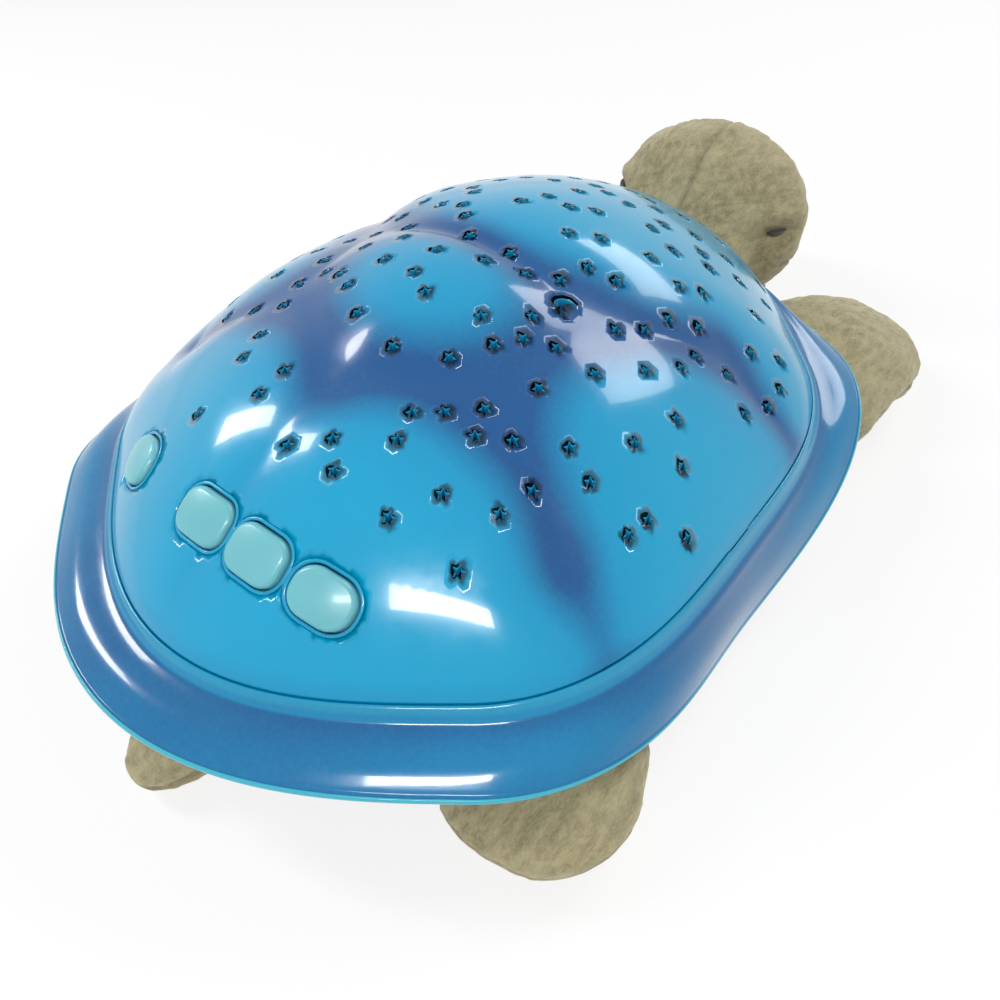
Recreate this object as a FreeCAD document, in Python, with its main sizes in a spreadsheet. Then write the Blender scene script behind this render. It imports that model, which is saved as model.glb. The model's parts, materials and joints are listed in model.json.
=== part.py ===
import FreeCAD, Part
import math
import os

V = FreeCAD.Vector
V2 = FreeCAD.Base.Vector2d

# A night light in the shape of a turtle: a hard star-cut shell over a lamp unit,
# on a stuffed body. The head points to -Y, the buttons are at +Y, the floor is z = 0.

doc = FreeCAD.newDocument("star_night_light")
sheet = doc.addObject("Spreadsheet::Sheet", "Sizes")
named_sizes = []


def size(alias, value):
    """Puts one driving dimension in the sheet and returns its value."""
    named_sizes.append(alias)
    row = len(named_sizes)
    sheet.set(f"A{row}", alias)
    sheet.set(f"B{row}", str(value))
    sheet.setAlias(f"B{row}", alias)
    return float(value)


# Shell outline, as plan radius and height at named directions round the rim
WALL = size("shell_wall", 2.2)
TOP = size("dome_height", 104.5)
APEX_BACK = size("apex_forward", 4)
RIM_HEAD = size("rim_head_radius", 150)
RIM_NECK = size("rim_neck_radius", 129)
RIM_FRONT = size("rim_front_flipper_radius", 136.5)
RIM_WAIST = size("rim_waist_radius", 115.5)
RIM_REAR = size("rim_rear_flipper_radius", 140.5)
RIM_TAIL = size("rim_tail_radius", 150)
RIM_HEAD_Z = size("rim_head_height", 50)
RIM_FRONT_Z = size("rim_front_flipper_height", 44)
RIM_WAIST_Z = size("rim_waist_height", 10)
RIM_REAR_Z = size("rim_rear_flipper_height", 34)
RIM_TAIL_Z = size("rim_tail_height", 37)
CREASE_HEAD = size("crease_head_radius", 134)
CREASE_FRONT = size("crease_front_radius", 116)
CREASE_WAIST = size("crease_waist_radius", 103.5)
CREASE_REAR = size("crease_rear_radius", 120.5)
CREASE_TAIL = size("crease_tail_radius", 130)
CREASE_HEAD_Z = size("crease_head_height", 54)
CREASE_WAIST_Z = size("crease_waist_height", 44)
CREASE_TAIL_Z = size("crease_tail_height", 43)
GROOVE_DEPTH = size("groove_depth", 6)
GROOVE_WIDTH = size("groove_half_width", 11)
LEDGE = size("skirt_ledge", 4.5)
LEDGE_DROP = size("skirt_ledge_drop", 2.4)
# Star holes
STAR_RADIUS = size("star_radius", 1.8)
STAR_PITCH = size("star_pitch", 12)
MOON_RADIUS = size("moon_radius", 3.6)
# Buttons and the board under them
BUTTON_ROW = size("button_row_back", 104)
TRIO_OFFSET = size("button_trio_offset", -15)
BUTTON_PITCH = size("button_pitch", 20)
BUTTON_WIDTH = size("button_width", 17)
BUTTON_DEPTH = size("button_depth", 13.5)
BUTTON_CORNER = size("button_corner_radius", 5)
POWER_OFFSET = size("power_button_offset", 44)
POWER_SIZE = size("power_button_size", 15)
BUTTON_GAP = size("button_gap", 0.5)
BUTTON_PROUD = size("button_proud", 2.6)
BUTTON_CROWN = size("button_crown_radius", 28)
BUTTON_TRAVEL = size("button_travel", 1.2)
FLANGE_LIP = size("button_flange_lip", 1.1)
FLANGE_THICK = size("button_flange_thickness", 1.4)
STEM_RADIUS = size("button_stem_radius", 2.2)
SWITCH_SIZE = size("switch_size", 6)
SWITCH_HEIGHT = size("switch_height", 3.6)
PLUNGER_RADIUS = size("plunger_radius", 1.6)
PLUNGER_PROUD = size("plunger_proud", 2.2)
BOARD_THICK = size("board_thickness", 1.6)
BOARD_POST = size("button_board_post_radius", 2.6)
SMALL_SCREW = size("small_screw_radius", 1)
SMALL_HEAD = size("small_screw_head_radius", 2.1)
SMALL_HEAD_THICK = size("small_screw_head_thickness", 1.4)
# Lamp unit
TRAY_Z = size("tray_height", 33)
TRAY_THICK = size("tray_thickness", 2.4)
TRAY_INSET = size("tray_inset", 7)
BOSS_RADIUS = size("boss_radius", 3.6)
BOSS_INSET = size("boss_inset", 20)
SCREW_RADIUS = size("screw_radius", 1.4)
SCREW_HEAD = size("screw_head_radius", 2.8)
HEAD_THICK = size("screw_head_thickness", 1.8)
MAIN_LENGTH = size("main_board_length", 62)
MAIN_WIDTH = size("main_board_width", 46)
POST_HEIGHT = size("board_post_height", 5)
MAIN_POST = size("main_board_post_radius", 3)
MAIN_SCREW = size("main_screw_radius", 1.1)
MAIN_HEAD = size("main_screw_head_radius", 2.2)
LED_HEIGHT = size("lamp_height", 5.5)
LED_RADIUS = size("lamp_radius", 2.5)
LED_SPACING = size("lamp_circle_radius", 6)
TOWER_RADIUS = size("tower_radius", 10.5)
TOWER_HEIGHT = size("tower_height", 16)
# Battery bay
CELL_RADIUS = size("cell_radius", 5.25)
CELL_LENGTH = size("cell_length", 44.5)
CELL_GAP = size("cell_gap", 0.9)
BAY_WALL = size("bay_wall", 1.8)
INNER_WALL = size("bay_inner_wall", 1.6)
SPRING_ROOM = size("spring_room", 5.5)
CONTACT_THICK = size("contact_thickness", 0.5)
DOOR_THICK = size("door_thickness", 2)
DOOR_Z = size("door_height", 3)
DOOR_GAP = size("door_gap", 0.4)
HINGE_RADIUS = size("hinge_pin_radius", 1.1)
HINGE_INSET = size("hinge_inset", 2.1)
HINGE_RISE = size("hinge_rise", 1.5)
HINGE_ROOM = size("hinge_room", 6)
SCREW_ROOM = size("screw_room", 9)
PAD_RADIUS = size("door_pad_radius", 3.3)
# Stuffed parts
SOFT_GAP = size("soft_gap", 0.4)
BODY_INSET = size("body_inset", 4)
HEAD_WIDE = size("head_half_width", 49)
HEAD_LONG = size("head_half_length", 42)
HEAD_TALL = size("head_half_height", 41.5)
HEAD_AT = size("head_centre_forward", 185)
EYE_RADIUS = size("eye_radius", 3.4)
FOOT_CUT = size("floor_flat_depth", 0.5)
FRONT_LONG = size("front_flipper_length", 92)
FRONT_WIDE = size("front_flipper_half_width", 35)
FRONT_TALL = size("front_flipper_half_height", 19)
REAR_LONG = size("rear_flipper_length", 66)
REAR_WIDE = size("rear_flipper_half_width", 29)
REAR_TALL = size("rear_flipper_half_height", 12.5)
TAIL_LONG = size("tail_length", 52)
TAIL_WIDE = size("tail_half_width", 17)
TAIL_TALL = size("tail_half_height", 9)
doc.recompute()

nodes = []


def keep(obj, label):
    """Marks a finished object as one piece of the assembly."""
    obj.Label = label
    nodes.append(obj)
    return obj


def feature(name, shape, place=None):
    obj = doc.addObject("Part::Feature", name)
    obj.Shape = shape
    if place is not None:
        obj.Placement = place
    return obj


def bind(obj, **sizes):
    """Binds properties to sheet expressions; x, y and z are the placement's base."""
    for prop, text in sizes.items():
        target = f"Placement.Base.{prop}" if prop in "xyz" else prop
        obj.setExpression(target, str(text))


def box(name, length, width, height, x, y, z):
    """A box centred on x and y that stands on z."""
    obj = doc.addObject("Part::Box", name)
    bind(obj, Length=length, Width=width, Height=height,
         x=f"({x}) - ({length}) / 2", y=f"({y}) - ({width}) / 2", z=z)
    return obj


def rod(name, radius, height, x, y, z):
    obj = doc.addObject("Part::Cylinder", name)
    bind(obj, Radius=radius, Height=height, x=x, y=y, z=z)
    return obj


def cross_rod(name, radius, length, x, y, z):
    """A rod along X, centred on x."""
    obj = doc.addObject("Part::Cylinder", name)
    obj.Placement = FreeCAD.Placement(V(), FreeCAD.Rotation(V(0, 1, 0), 90))
    bind(obj, Radius=radius, Height=length, x=f"({x}) - ({length}) / 2", y=y, z=z)
    return obj


def cut(name, base, *tools):
    obj = doc.addObject("Part::Cut", name)
    obj.Base = base
    obj.Tool = tools[0] if len(tools) == 1 else join(name + "_tools", *tools)
    return obj


def join(name, *parts):
    obj = doc.addObject("Part::MultiFuse", name)
    obj.Shapes = list(parts)
    return obj


def group(name, *parts):
    obj = doc.addObject("Part::Compound", name)
    obj.Links = list(parts)
    return obj


# Shell form
def eased(stations, angle):
    """Value at a direction (degrees from the head) between named stations, same on both sides."""
    angle = abs((angle + 180) % 360 - 180)
    for (a0, v0), (a1, v1) in zip(stations, stations[1:]):
        if angle <= a1:
            return v0 + (v1 - v0) * (1 - math.cos(math.pi * (angle - a0) / (a1 - a0))) / 2
    return stations[-1][1]


rim_radius = [(0, RIM_HEAD), (23, RIM_NECK), (48, RIM_FRONT), (94, RIM_WAIST), (142, RIM_REAR),
              (180, RIM_TAIL)]
rim_height = [(0, RIM_HEAD_Z), (45, RIM_FRONT_Z), (94, RIM_WAIST_Z), (145, RIM_REAR_Z), (180, RIM_TAIL_Z)]
crease_radius = [(0, CREASE_HEAD), (48, CREASE_FRONT), (92, CREASE_WAIST), (142, CREASE_REAR),
                 (180, CREASE_TAIL)]
crease_height = [(0, CREASE_HEAD_Z), (92, CREASE_WAIST_Z), (180, CREASE_TAIL_Z)]
DOME_POWER = 1.8
DOME_BLUNT = 0.85

# Grooves between the six plates, on the right side and the centre line: ends and share of depth
BACK_TIP = (0, 58)
BACK_CORNER = (38, 40)
FRONT_CORNER = (42, 0)
half_grooves = [
    (BACK_TIP, BACK_CORNER, 1),
    (BACK_CORNER, FRONT_CORNER, 1),
    (BACK_CORNER, (76, 58), 0.9),
    ((76, 58), (96, 66), 0.6),
    (FRONT_CORNER, (72, -31), 1),
    ((72, -31), (100, -33), 0.8),
]
grooves = [((-FRONT_CORNER[0], 0), FRONT_CORNER, 1), (BACK_TIP, (0, 120), 0.35)]
for start, end, share in half_grooves:
    grooves.append((start, end, share))
    grooves.append(((-start[0], start[1]), (-end[0], end[1]), share))


def groove_share(x, y):
    """How deep in a groove a plan point lies, from 0 to 1."""
    flat = 1
    for (ax, ay), (bx, by), share in grooves:
        dx, dy = bx - ax, by - ay
        along = ((x - ax) * dx + (y - ay) * dy) / (dx * dx + dy * dy)
        along = min(1, max(0, along))
        away = math.hypot(x - ax - along * dx, y - ay - along * dy)
        flat *= 1 - share * math.exp(-away / GROOVE_WIDTH)
    return 1 - flat


def on_dome(x, y):
    """Direction from the head and share of the way out to the crease, for a plan point."""
    out = math.hypot(x, y) / CREASE_FRONT
    for _ in range(14):
        back = y + APEX_BACK * max(0, 1 - out)
        angle = math.degrees(math.atan2(x, -back))
        out = math.hypot(x, back) / eased(crease_radius, angle)
    return angle, out


def dome_z(x, y):
    """Height of the shell's outer face over a plan point, carried on past the crease."""
    angle, out = on_dome(x, y)
    low = eased(crease_height, angle)
    inside = min(out, 1)
    z = low + (TOP - low) * (1 - inside ** DOME_POWER) ** DOME_BLUNT
    z -= GROOVE_DEPTH * groove_share(x, y) * min(1, 6 * (1 - inside))
    if out > 1:
        z -= 0.9 * (out - 1) * eased(crease_radius, angle)
    return z


def dome_normal(x, y):
    step = 1.5
    slope_x = (dome_z(x + step, y) - dome_z(x - step, y)) / (2 * step)
    slope_y = (dome_z(x, y + step) - dome_z(x, y - step)) / (2 * step)
    normal = V(-slope_x, -slope_y, 1)
    normal.normalize()
    return normal


# Height fields over one grid: the outer face, the inner face a wall's thickness below it,
# and a face in between where bosses end
GRID = 5
STEEPEST = 0.5
X_LOW, X_HIGH = -GRID * round((CREASE_WAIST + 22) / GRID), GRID * round((CREASE_WAIST + 22) / GRID)
Y_LOW, Y_HIGH = -GRID * round((CREASE_HEAD + 15) / GRID), GRID * round((CREASE_TAIL + 15) / GRID)
outer_grid, inner_grid, middle_grid = [], [], []
for i in range(int((X_HIGH - X_LOW) / GRID) + 1):
    outer_row, inner_row, middle_row = [], [], []
    for j in range(int((Y_HIGH - Y_LOW) / GRID) + 1):
        gx, gy = X_LOW + i * GRID, Y_LOW + j * GRID
        gz = dome_z(gx, gy)
        drop = WALL / max(STEEPEST, dome_normal(gx, gy).z)
        outer_row.append(gz)
        inner_row.append(gz - drop)
        middle_row.append(gz - drop * 0.55)
    outer_grid.append(outer_row)
    inner_grid.append(inner_row)
    middle_grid.append(middle_row)


def height_field(grid):
    surface = Part.BSplineSurface()
    surface.interpolate(grid, X_LOW, GRID, Y_LOW, GRID)
    return surface


outer_surface = height_field(outer_grid)
inner_surface = height_field(inner_grid)
middle_surface = height_field(middle_grid)

RING_POINTS = 60
ring_angles = [360 * k / RING_POINTS for k in range(RING_POINTS)]


def plan(angle, radius):
    turn = math.radians(angle)
    return radius * math.sin(turn), -radius * math.cos(turn)


def dome_loop(surface, inset):
    """The crease line on a dome surface, drawn in the surface's own plan."""
    points = [V2(*plan(a, eased(crease_radius, a) - inset)) for a in ring_angles]
    curve = Part.Geom2d.BSplineCurve2d()
    curve.interpolate(Points=points, PeriodicFlag=True)
    return Part.Wire([curve.toShape(surface)])


def ring_edge(radius_and_height):
    curve = Part.BSplineCurve()
    points = []
    for a in ring_angles:
        radius, height = radius_and_height(a)
        x, y = plan(a, radius)
        points.append(V(x, y, height))
    curve.interpolate(Points=points, PeriodicFlag=True)
    return curve.toShape()


def skirt_section(angle):
    """Crease, ledge and rim of the skirt in one direction, as radius and height."""
    crease = (eased(crease_radius, angle), eased(crease_height, angle))
    rim = (eased(rim_radius, angle), eased(rim_height, angle))
    run = math.hypot(rim[0] - crease[0], rim[1] - crease[1])
    share = LEDGE / run
    ledge = (crease[0] + LEDGE, crease[1] + (rim[1] - crease[1]) * share - LEDGE_DROP * (1 - share))
    return crease, ledge, rim


def skirt_inner(angle):
    """Ledge and rim of the inner face, a wall's thickness in from the outer ones."""
    _, ledge, rim = skirt_section(angle)
    along = V(rim[0] - ledge[0], rim[1] - ledge[1], 0)
    along.normalize()
    inward = V(along.y, -along.x, 0) * WALL
    inner_ledge = (ledge[0] + inward.x - along.x, ledge[1] + inward.y - along.y)
    return inner_ledge, (rim[0] + inward.x, rim[1] + inward.y)


ledge_outer = ring_edge(lambda a: skirt_section(a)[1])
rim_outer = ring_edge(lambda a: skirt_section(a)[2])
ledge_inner = ring_edge(lambda a: skirt_inner(a)[0])
rim_inner = ring_edge(lambda a: skirt_inner(a)[1])
INNER_INSET = WALL + 0.4
crease_outer = dome_loop(outer_surface, 0)
crease_inner = dome_loop(inner_surface, INNER_INSET)
faces = [Part.Face(outer_surface, crease_outer), Part.Face(inner_surface, crease_inner)]
rings = [crease_outer.Edges[0], ledge_outer, rim_outer, rim_inner, ledge_inner, crease_inner.Edges[0]]
for low, high in zip(rings, rings[1:]):
    faces += Part.makeRuledSurface(low, high).Faces
skin = Part.makeShell(faces)
skin.sewShape()
shell = Part.makeSolid(skin)
if shell.Volume < 0:
    shell.reverse()
print("shell", shell.isValid(), round(shell.Volume))


def skirt_room(angle, side, end):
    """A corner of the space that the skirt takes up, with a little slack all round."""
    _, ledge, rim = skirt_section(angle)
    along = V(rim[0] - ledge[0], rim[1] - ledge[1], 0)
    along.normalize()
    out = V(-along.y, along.x, 0) * (SOFT_GAP if side > 0 else -WALL - SOFT_GAP)
    base = rim if end > 0 else ledge
    return base[0] + out.x + along.x * end * SOFT_GAP, base[1] + out.y + along.y * end * SOFT_GAP


room_rings = [ring_edge(lambda a, s=side, e=end: skirt_room(a, s, e))
              for side, end in ((1, -1), (1, 1), (-1, 1), (-1, -1))]
room_faces = []
for low, high in zip(room_rings, room_rings[1:] + room_rings[:1]):
    room_faces += Part.makeRuledSurface(low, high).Faces
room_skin = Part.makeShell(room_faces)
room_skin.sewShape()
skirt_space = Part.makeSolid(room_skin)
if skirt_space.Volume < 0:
    skirt_space.reverse()
print("skirt space", skirt_space.isValid(), round(skirt_space.Volume))
doc.recompute()

# Button row: a tilted frame with u across, v down the slope and w out of the shell
row_normal = dome_normal(0, BUTTON_ROW)
ROW_TILT = round(math.degrees(math.atan2(row_normal.y, row_normal.z)), 1)
row_turn = FreeCAD.Rotation(V(1, 0, 0), -ROW_TILT)
row_place = FreeCAD.Placement(V(0, BUTTON_ROW, round(dome_z(0, BUTTON_ROW), 1)), row_turn)
row_out = row_turn.multVec(V(0, 0, 1))
print("button row at", row_place.Base, "tilt", ROW_TILT)


def depth_under(surface, u, v):
    """Where a line along w through (u, v) meets a dome surface, as w."""
    w = 0
    for _ in range(30):
        point = row_place.multVec(V(u, v, w))
        w -= (point.z - surface.value(point.x, point.y).z) * row_out.z
    return w


def rounded(width, depth, corner, w):
    """A rectangle with round corners in the button frame, as a wire at height w."""
    a, b = width / 2, depth / 2
    c = min(corner, a * 0.98, b * 0.98)
    k = c * (1 - math.sqrt(0.5))
    edges = []
    for su, sv in ((1, 1), (-1, 1), (-1, -1), (1, -1)):
        first, last = V(su * a, sv * (b - c), w), V(su * (a - c), sv * b, w)
        middle = V(su * (a - k), sv * (b - k), w)
        if su * sv < 0:
            first, last = last, first
        edges.append(Part.Arc(first, middle, last).toShape())
    lines = []
    for one, two in zip(edges, edges[1:] + edges[:1]):
        start, end = one.lastVertex().Point, two.firstVertex().Point
        if start.distanceToPoint(end) > 1e-4:
            lines.append(Part.makeLine(start, end))
    wire = Part.Wire(Part.__sortEdges__(edges + lines))
    return wire


def pad(width, depth, corner, u, low, high):
    solid = Part.Face(rounded(width, depth, corner, low)).extrude(V(0, 0, high - low))
    solid.translate(V(u, 0, 0))
    return solid


FLANGE_CLEAR = 0.35
buttons = {
    "power": (POWER_OFFSET, POWER_SIZE, POWER_SIZE, POWER_SIZE * 0.42),
    "left": (TRIO_OFFSET + BUTTON_PITCH, BUTTON_WIDTH, BUTTON_DEPTH, BUTTON_CORNER),
    "centre": (TRIO_OFFSET, BUTTON_WIDTH, BUTTON_DEPTH, BUTTON_CORNER),
    "right": (TRIO_OFFSET - BUTTON_PITCH, BUTTON_WIDTH, BUTTON_DEPTH, BUTTON_CORNER + 1),
}


def flange_top(u, width, depth):
    """The highest level at which a button's flange clears the shell's inner face."""
    a, b = width / 2 + FLANGE_LIP, depth / 2 + FLANGE_LIP
    levels = []
    for su in (-1, 0, 1):
        for sv in (-1, 0, 1):
            levels.append(depth_under(inner_surface, u + su * a, sv * b))
    return min(levels) - FLANGE_CLEAR


flange_levels = {name: flange_top(u, w, d) for name, (u, w, d, _) in buttons.items()}
BOARD_TOP = min(flange_levels.values()) - FLANGE_THICK - 0.6 - PLUNGER_PROUD - SWITCH_HEIGHT
stem_end = BOARD_TOP + SWITCH_HEIGHT + PLUNGER_PROUD


def button_shape(u, width, depth, corner):
    """Cap, flange and stem of one button, in the button frame."""
    top = depth_under(outer_surface, u, 0)
    point = row_place.multVec(V(u, 0, top))
    normal = row_turn.inverted().multVec(dome_normal(point.x, point.y))
    flange = flange_top(u, width, depth)
    centre = V(u, 0, top) + normal * (BUTTON_PROUD - BUTTON_CROWN)
    prism = pad(width, depth, corner, u, flange - FLANGE_THICK / 2, top + BUTTON_CROWN / 2)
    cap = prism.common(Part.makeSphere(BUTTON_CROWN, centre, V(-1, 0, 0)))
    crown = [e for e in cap.Edges if e.BoundBox.ZMin > flange + 1]
    cap = cap.makeFillet(min(1.6, corner / 3), crown)
    lip = pad(width + 2 * FLANGE_LIP, depth + 2 * FLANGE_LIP, corner + FLANGE_LIP, u,
              flange - FLANGE_THICK, flange)
    stem = Part.makeCylinder(STEM_RADIUS, flange - stem_end, V(u, 0, stem_end))
    return cap.fuse([lip, stem]).removeSplitter()


openings = []
for name, (u, width, depth, corner) in buttons.items():
    keep(feature("button_" + name, button_shape(u, width, depth, corner), row_place), "button_" + name)
    hole = pad(width + 2 * BUTTON_GAP, depth + 2 * BUTTON_GAP, corner + BUTTON_GAP, u,
               flange_levels[name] - 1, depth_under(outer_surface, u, 0) + 14)
    hole.Placement = row_place.multiply(hole.Placement)
    openings.append(hole)

# Bosses under the shell end in the middle of its wall
middle_body = Part.Face(middle_surface, dome_loop(middle_surface, WALL)).extrude(V(0, 0, -TOP))
boss_floor = TRAY_Z + TRAY_THICK
boss_angles = [28, 90, 132, -28, -90, -132]
boss_points = [plan(a, eased(crease_radius, a) - BOSS_INSET) for a in boss_angles]
bosses, pilots = [], []
PILOT_DEPTH = 12
for x, y in boss_points:
    bosses.append(Part.makeCylinder(BOSS_RADIUS, TOP - boss_floor, V(x, y, boss_floor)).common(middle_body))
    pilots.append(Part.makeCylinder(SCREW_RADIUS, PILOT_DEPTH, V(x, y, boss_floor)))

# Posts that carry the button board, in the button frame: (u, v)
board_posts = [(24, 5), (24, -14.5), (-25, -14.5)]
for u, v in board_posts:
    post = Part.makeCylinder(BOARD_POST, 60, V(u, v, BOARD_TOP))
    post.Placement = row_place
    bosses.append(post.common(middle_body))
    pilot = Part.makeCylinder(SMALL_SCREW, 6, V(u, v, BOARD_TOP))
    pilot.Placement = row_place
    pilots.append(pilot)
shell = shell.fuse(bosses)
shell = shell.cut(openings + pilots)
print("shell with bosses", shell.isValid(), len(shell.Solids), len(shell.Faces), round(shell.Volume))

# Stars: a few placed by hand at the sparse back, the rest on rings at an uneven pitch
hand_stars = [(-38, 80), (-58, 78), (-20, 80), (-4, 81), (31, 85), (-45, 68), (-58, 62), (-28, 65),
              (-70, 40), (-85, 34), (-14, 74), (15, 74), (14, 65), (32, 66), (-26, 57), (35, 57)]
MOON_AT = (-36, 3)
STAR_SHARE = 0.45
SHELL_MARGIN = 0.93
star_points = []


def clear_of(x, y, spots, gap):
    return all(math.hypot(x - a, y - b) > gap for a, b in spots)


button_spots = []
for u, _, _, _ in buttons.values():
    spot = row_place.multVec(V(u, 0, depth_under(outer_surface, u, 0)))
    button_spots.append((spot.x, spot.y))
post_spots = []
for u, v in board_posts:
    spot = row_place.multVec(V(u, v, depth_under(inner_surface, u, v)))
    post_spots.append((spot.x, spot.y))


def star_fits(x, y, gap):
    return (clear_of(x, y, star_points, gap)
            and clear_of(x, y, [MOON_AT], 2 * STAR_RADIUS + MOON_RADIUS)
            and clear_of(x, y, boss_points, BOSS_RADIUS + STAR_RADIUS + 1)
            and clear_of(x, y, post_spots, BOARD_POST + STAR_RADIUS + 1)
            and clear_of(x, y, button_spots, BUTTON_WIDTH * 0.72 + STAR_RADIUS)
            and on_dome(x, y)[1] < SHELL_MARGIN)


for x, y in hand_stars:
    if star_fits(x, y, 3 * STAR_RADIUS):
        star_points.append((x, y))
ring = 0
while ring * STAR_PITCH < CREASE_HEAD:
    radius = (ring + 0.4) * STAR_PITCH
    count = max(3, round(2 * math.pi * radius / STAR_PITCH))
    for k in range(count):
        angle = 2 * math.pi * (k + 0.37 * math.sin(7.3 * k + 2.1 * ring)) / count + ring * 1.1
        reach = radius + STAR_PITCH * 0.3 * math.sin(5.1 * k + ring)
        x, y = reach * math.sin(angle), -18 - reach * math.cos(angle) * 1.15
        if y < 52 and on_dome(x, y)[1] < 1 and star_fits(x, y, STAR_PITCH * 0.6):
            star_points.append((x, y))
    ring += 1
print("stars", len(star_points))


def star_outline(index, x, y):
    """Ten plan corners of a star whose face lies on the slope; holes run straight up."""
    normal = dome_normal(x, y)
    turn = 1.3 * index
    corners = []
    for k in range(10):
        radius = STAR_RADIUS * (1 if k % 2 == 0 else STAR_SHARE)
        a = turn + math.pi * k / 5
        corners.append((x + radius * math.cos(a) * max(0.75, math.sqrt(1 - normal.x ** 2)),
                        y + radius * math.sin(a) * max(0.75, math.sqrt(1 - normal.y ** 2))))
    return corners


def moon_outline():
    """A crescent: two arcs between the same two tips, as plan corners."""
    corners = []
    for k in range(9):
        a = math.radians(-110 + 220 * k / 8)
        corners.append((MOON_AT[0] + MOON_RADIUS * math.cos(a), MOON_AT[1] + MOON_RADIUS * math.sin(a)))
    tip_x = MOON_RADIUS * math.cos(math.radians(110))
    tip_y = MOON_RADIUS * math.sin(math.radians(110))
    for k in range(1, 6):
        a = math.pi * k / 6
        inward = MOON_RADIUS * 0.75 * math.sin(a)
        corners.append((MOON_AT[0] + tip_x + inward, MOON_AT[1] + tip_y * math.cos(a)))
    return corners


def outline_on(surface, corners):
    edges = []
    for (ax, ay), (bx, by) in zip(corners, corners[1:] + corners[:1]):
        edges.append(Part.Geom2d.Line2dSegment(V2(ax, ay), V2(bx, by)).toShape(surface))
    return Part.Wire(edges)


def dome_face(shape, surface):
    """The largest face of a shape that lies on a dome surface."""
    found = []
    for face in shape.Faces:
        if isinstance(face.Surface, Part.BSplineSurface) and face.Surface.NbUPoles == surface.NbUPoles:
            x, y = boss_points[0][0] * 0.5, boss_points[0][1] * 0.5
            if abs(face.Surface.value(x, y).z - surface.value(x, y).z) < 0.01:
                found.append(face)
    return max(found, key=lambda f: f.Area)


outlines = [star_outline(k, x, y) for k, (x, y) in enumerate(star_points)] + [moon_outline()]
outer_face, inner_face = dome_face(shell, outer_surface), dome_face(shell, inner_surface)
outer_wires = [outline_on(outer_surface, c) for c in outlines]
inner_wires = [outline_on(inner_surface, c) for c in outlines]
pierced = [f for f in shell.Faces if not (f.isSame(outer_face) or f.isSame(inner_face))]
for face, wires in ((outer_face, outer_wires), (inner_face, inner_wires)):
    face.cutHoles(wires)
    face.validate()
    pierced.append(face)
for top_wire, low_wire in zip(outer_wires, inner_wires):
    for top_edge, low_edge in zip(top_wire.Edges, low_wire.Edges):
        pierced += Part.makeRuledSurface(top_edge, low_edge).Faces
skin = Part.makeShell(pierced)
skin.sewShape()
shell = Part.makeSolid(skin)
if shell.Volume < 0:
    shell.reverse()
print("pierced shell", shell.isClosed(), len(shell.Faces), round(shell.Volume))
keep(feature("star_shell", shell), "star_shell")

# Button board with its switches, in the button frame
BOARD_LEFT, BOARD_RIGHT, BOARD_UPHILL, BOARD_DOWNHILL = -48, 56, 18, 10
board = Part.makeBox(BOARD_RIGHT - BOARD_LEFT, BOARD_UPHILL + BOARD_DOWNHILL, BOARD_THICK,
                     V(BOARD_LEFT, -BOARD_UPHILL, BOARD_TOP - BOARD_THICK))
board_screws = []
for u, v in board_posts:
    drill = Part.makeCylinder(SMALL_SCREW + 0.2, 2 * BOARD_THICK, V(u, v, BOARD_TOP - 1.5 * BOARD_THICK))
    board = board.cut(drill)
    head_low = BOARD_TOP - BOARD_THICK - SMALL_HEAD_THICK
    screw = Part.makeCylinder(SMALL_HEAD, SMALL_HEAD_THICK, V(u, v, head_low))
    shaft = Part.makeCylinder(SMALL_SCREW, 5 + BOARD_THICK, V(u, v, head_low + SMALL_HEAD_THICK))
    screw = screw.fuse(shaft)
    board_screws.append(screw.removeSplitter())
keep(feature("button_board", board, row_place), "button_board")
keep(feature("button_board_screws", Part.makeCompound(board_screws), row_place), "button_board_screws")
for name, (u, width, depth, _) in buttons.items():
    half = SWITCH_SIZE / 2
    switch_top = BOARD_TOP + SWITCH_HEIGHT
    case = Part.makeBox(SWITCH_SIZE, SWITCH_SIZE, SWITCH_HEIGHT, V(u - half, -half, BOARD_TOP))
    sink = BUTTON_TRAVEL + 0.8
    case = case.cut(Part.makeCylinder(PLUNGER_RADIUS + 0.15, sink, V(u, 0, switch_top - sink)))
    keep(feature("switch_" + name, case, row_place), "switch_" + name)
    plunger = Part.makeCylinder(PLUNGER_RADIUS, PLUNGER_PROUD + 0.6, V(u, 0, switch_top - 0.6))
    keep(feature("plunger_" + name, plunger, row_place), "plunger_" + name)

# Tray that closes the dome from below, with the battery bay under it
BAY_WIDTH = "(Sizes.cell_radius * 6 + Sizes.cell_gap * 4)"
CELL_ROOM = "(Sizes.cell_length + Sizes.spring_room + Sizes.contact_thickness * 2)"
bay_width = CELL_RADIUS * 6 + CELL_GAP * 4
cell_room = CELL_LENGTH + SPRING_ROOM + CONTACT_THICK * 2
bay_low, bay_high = -cell_room / 2 - HINGE_ROOM, cell_room / 2 + SCREW_ROOM
BAY_LENGTH = f"({CELL_ROOM} + Sizes.hinge_room + Sizes.screw_room)"
BAY_MIDDLE = "((Sizes.screw_room - Sizes.hinge_room) / 2)"
CELL_Z = "(Sizes.door_height + Sizes.door_thickness + 0.8 + Sizes.cell_radius)"
CEILING = f"({CELL_Z} + Sizes.cell_radius + 0.7)"

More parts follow.
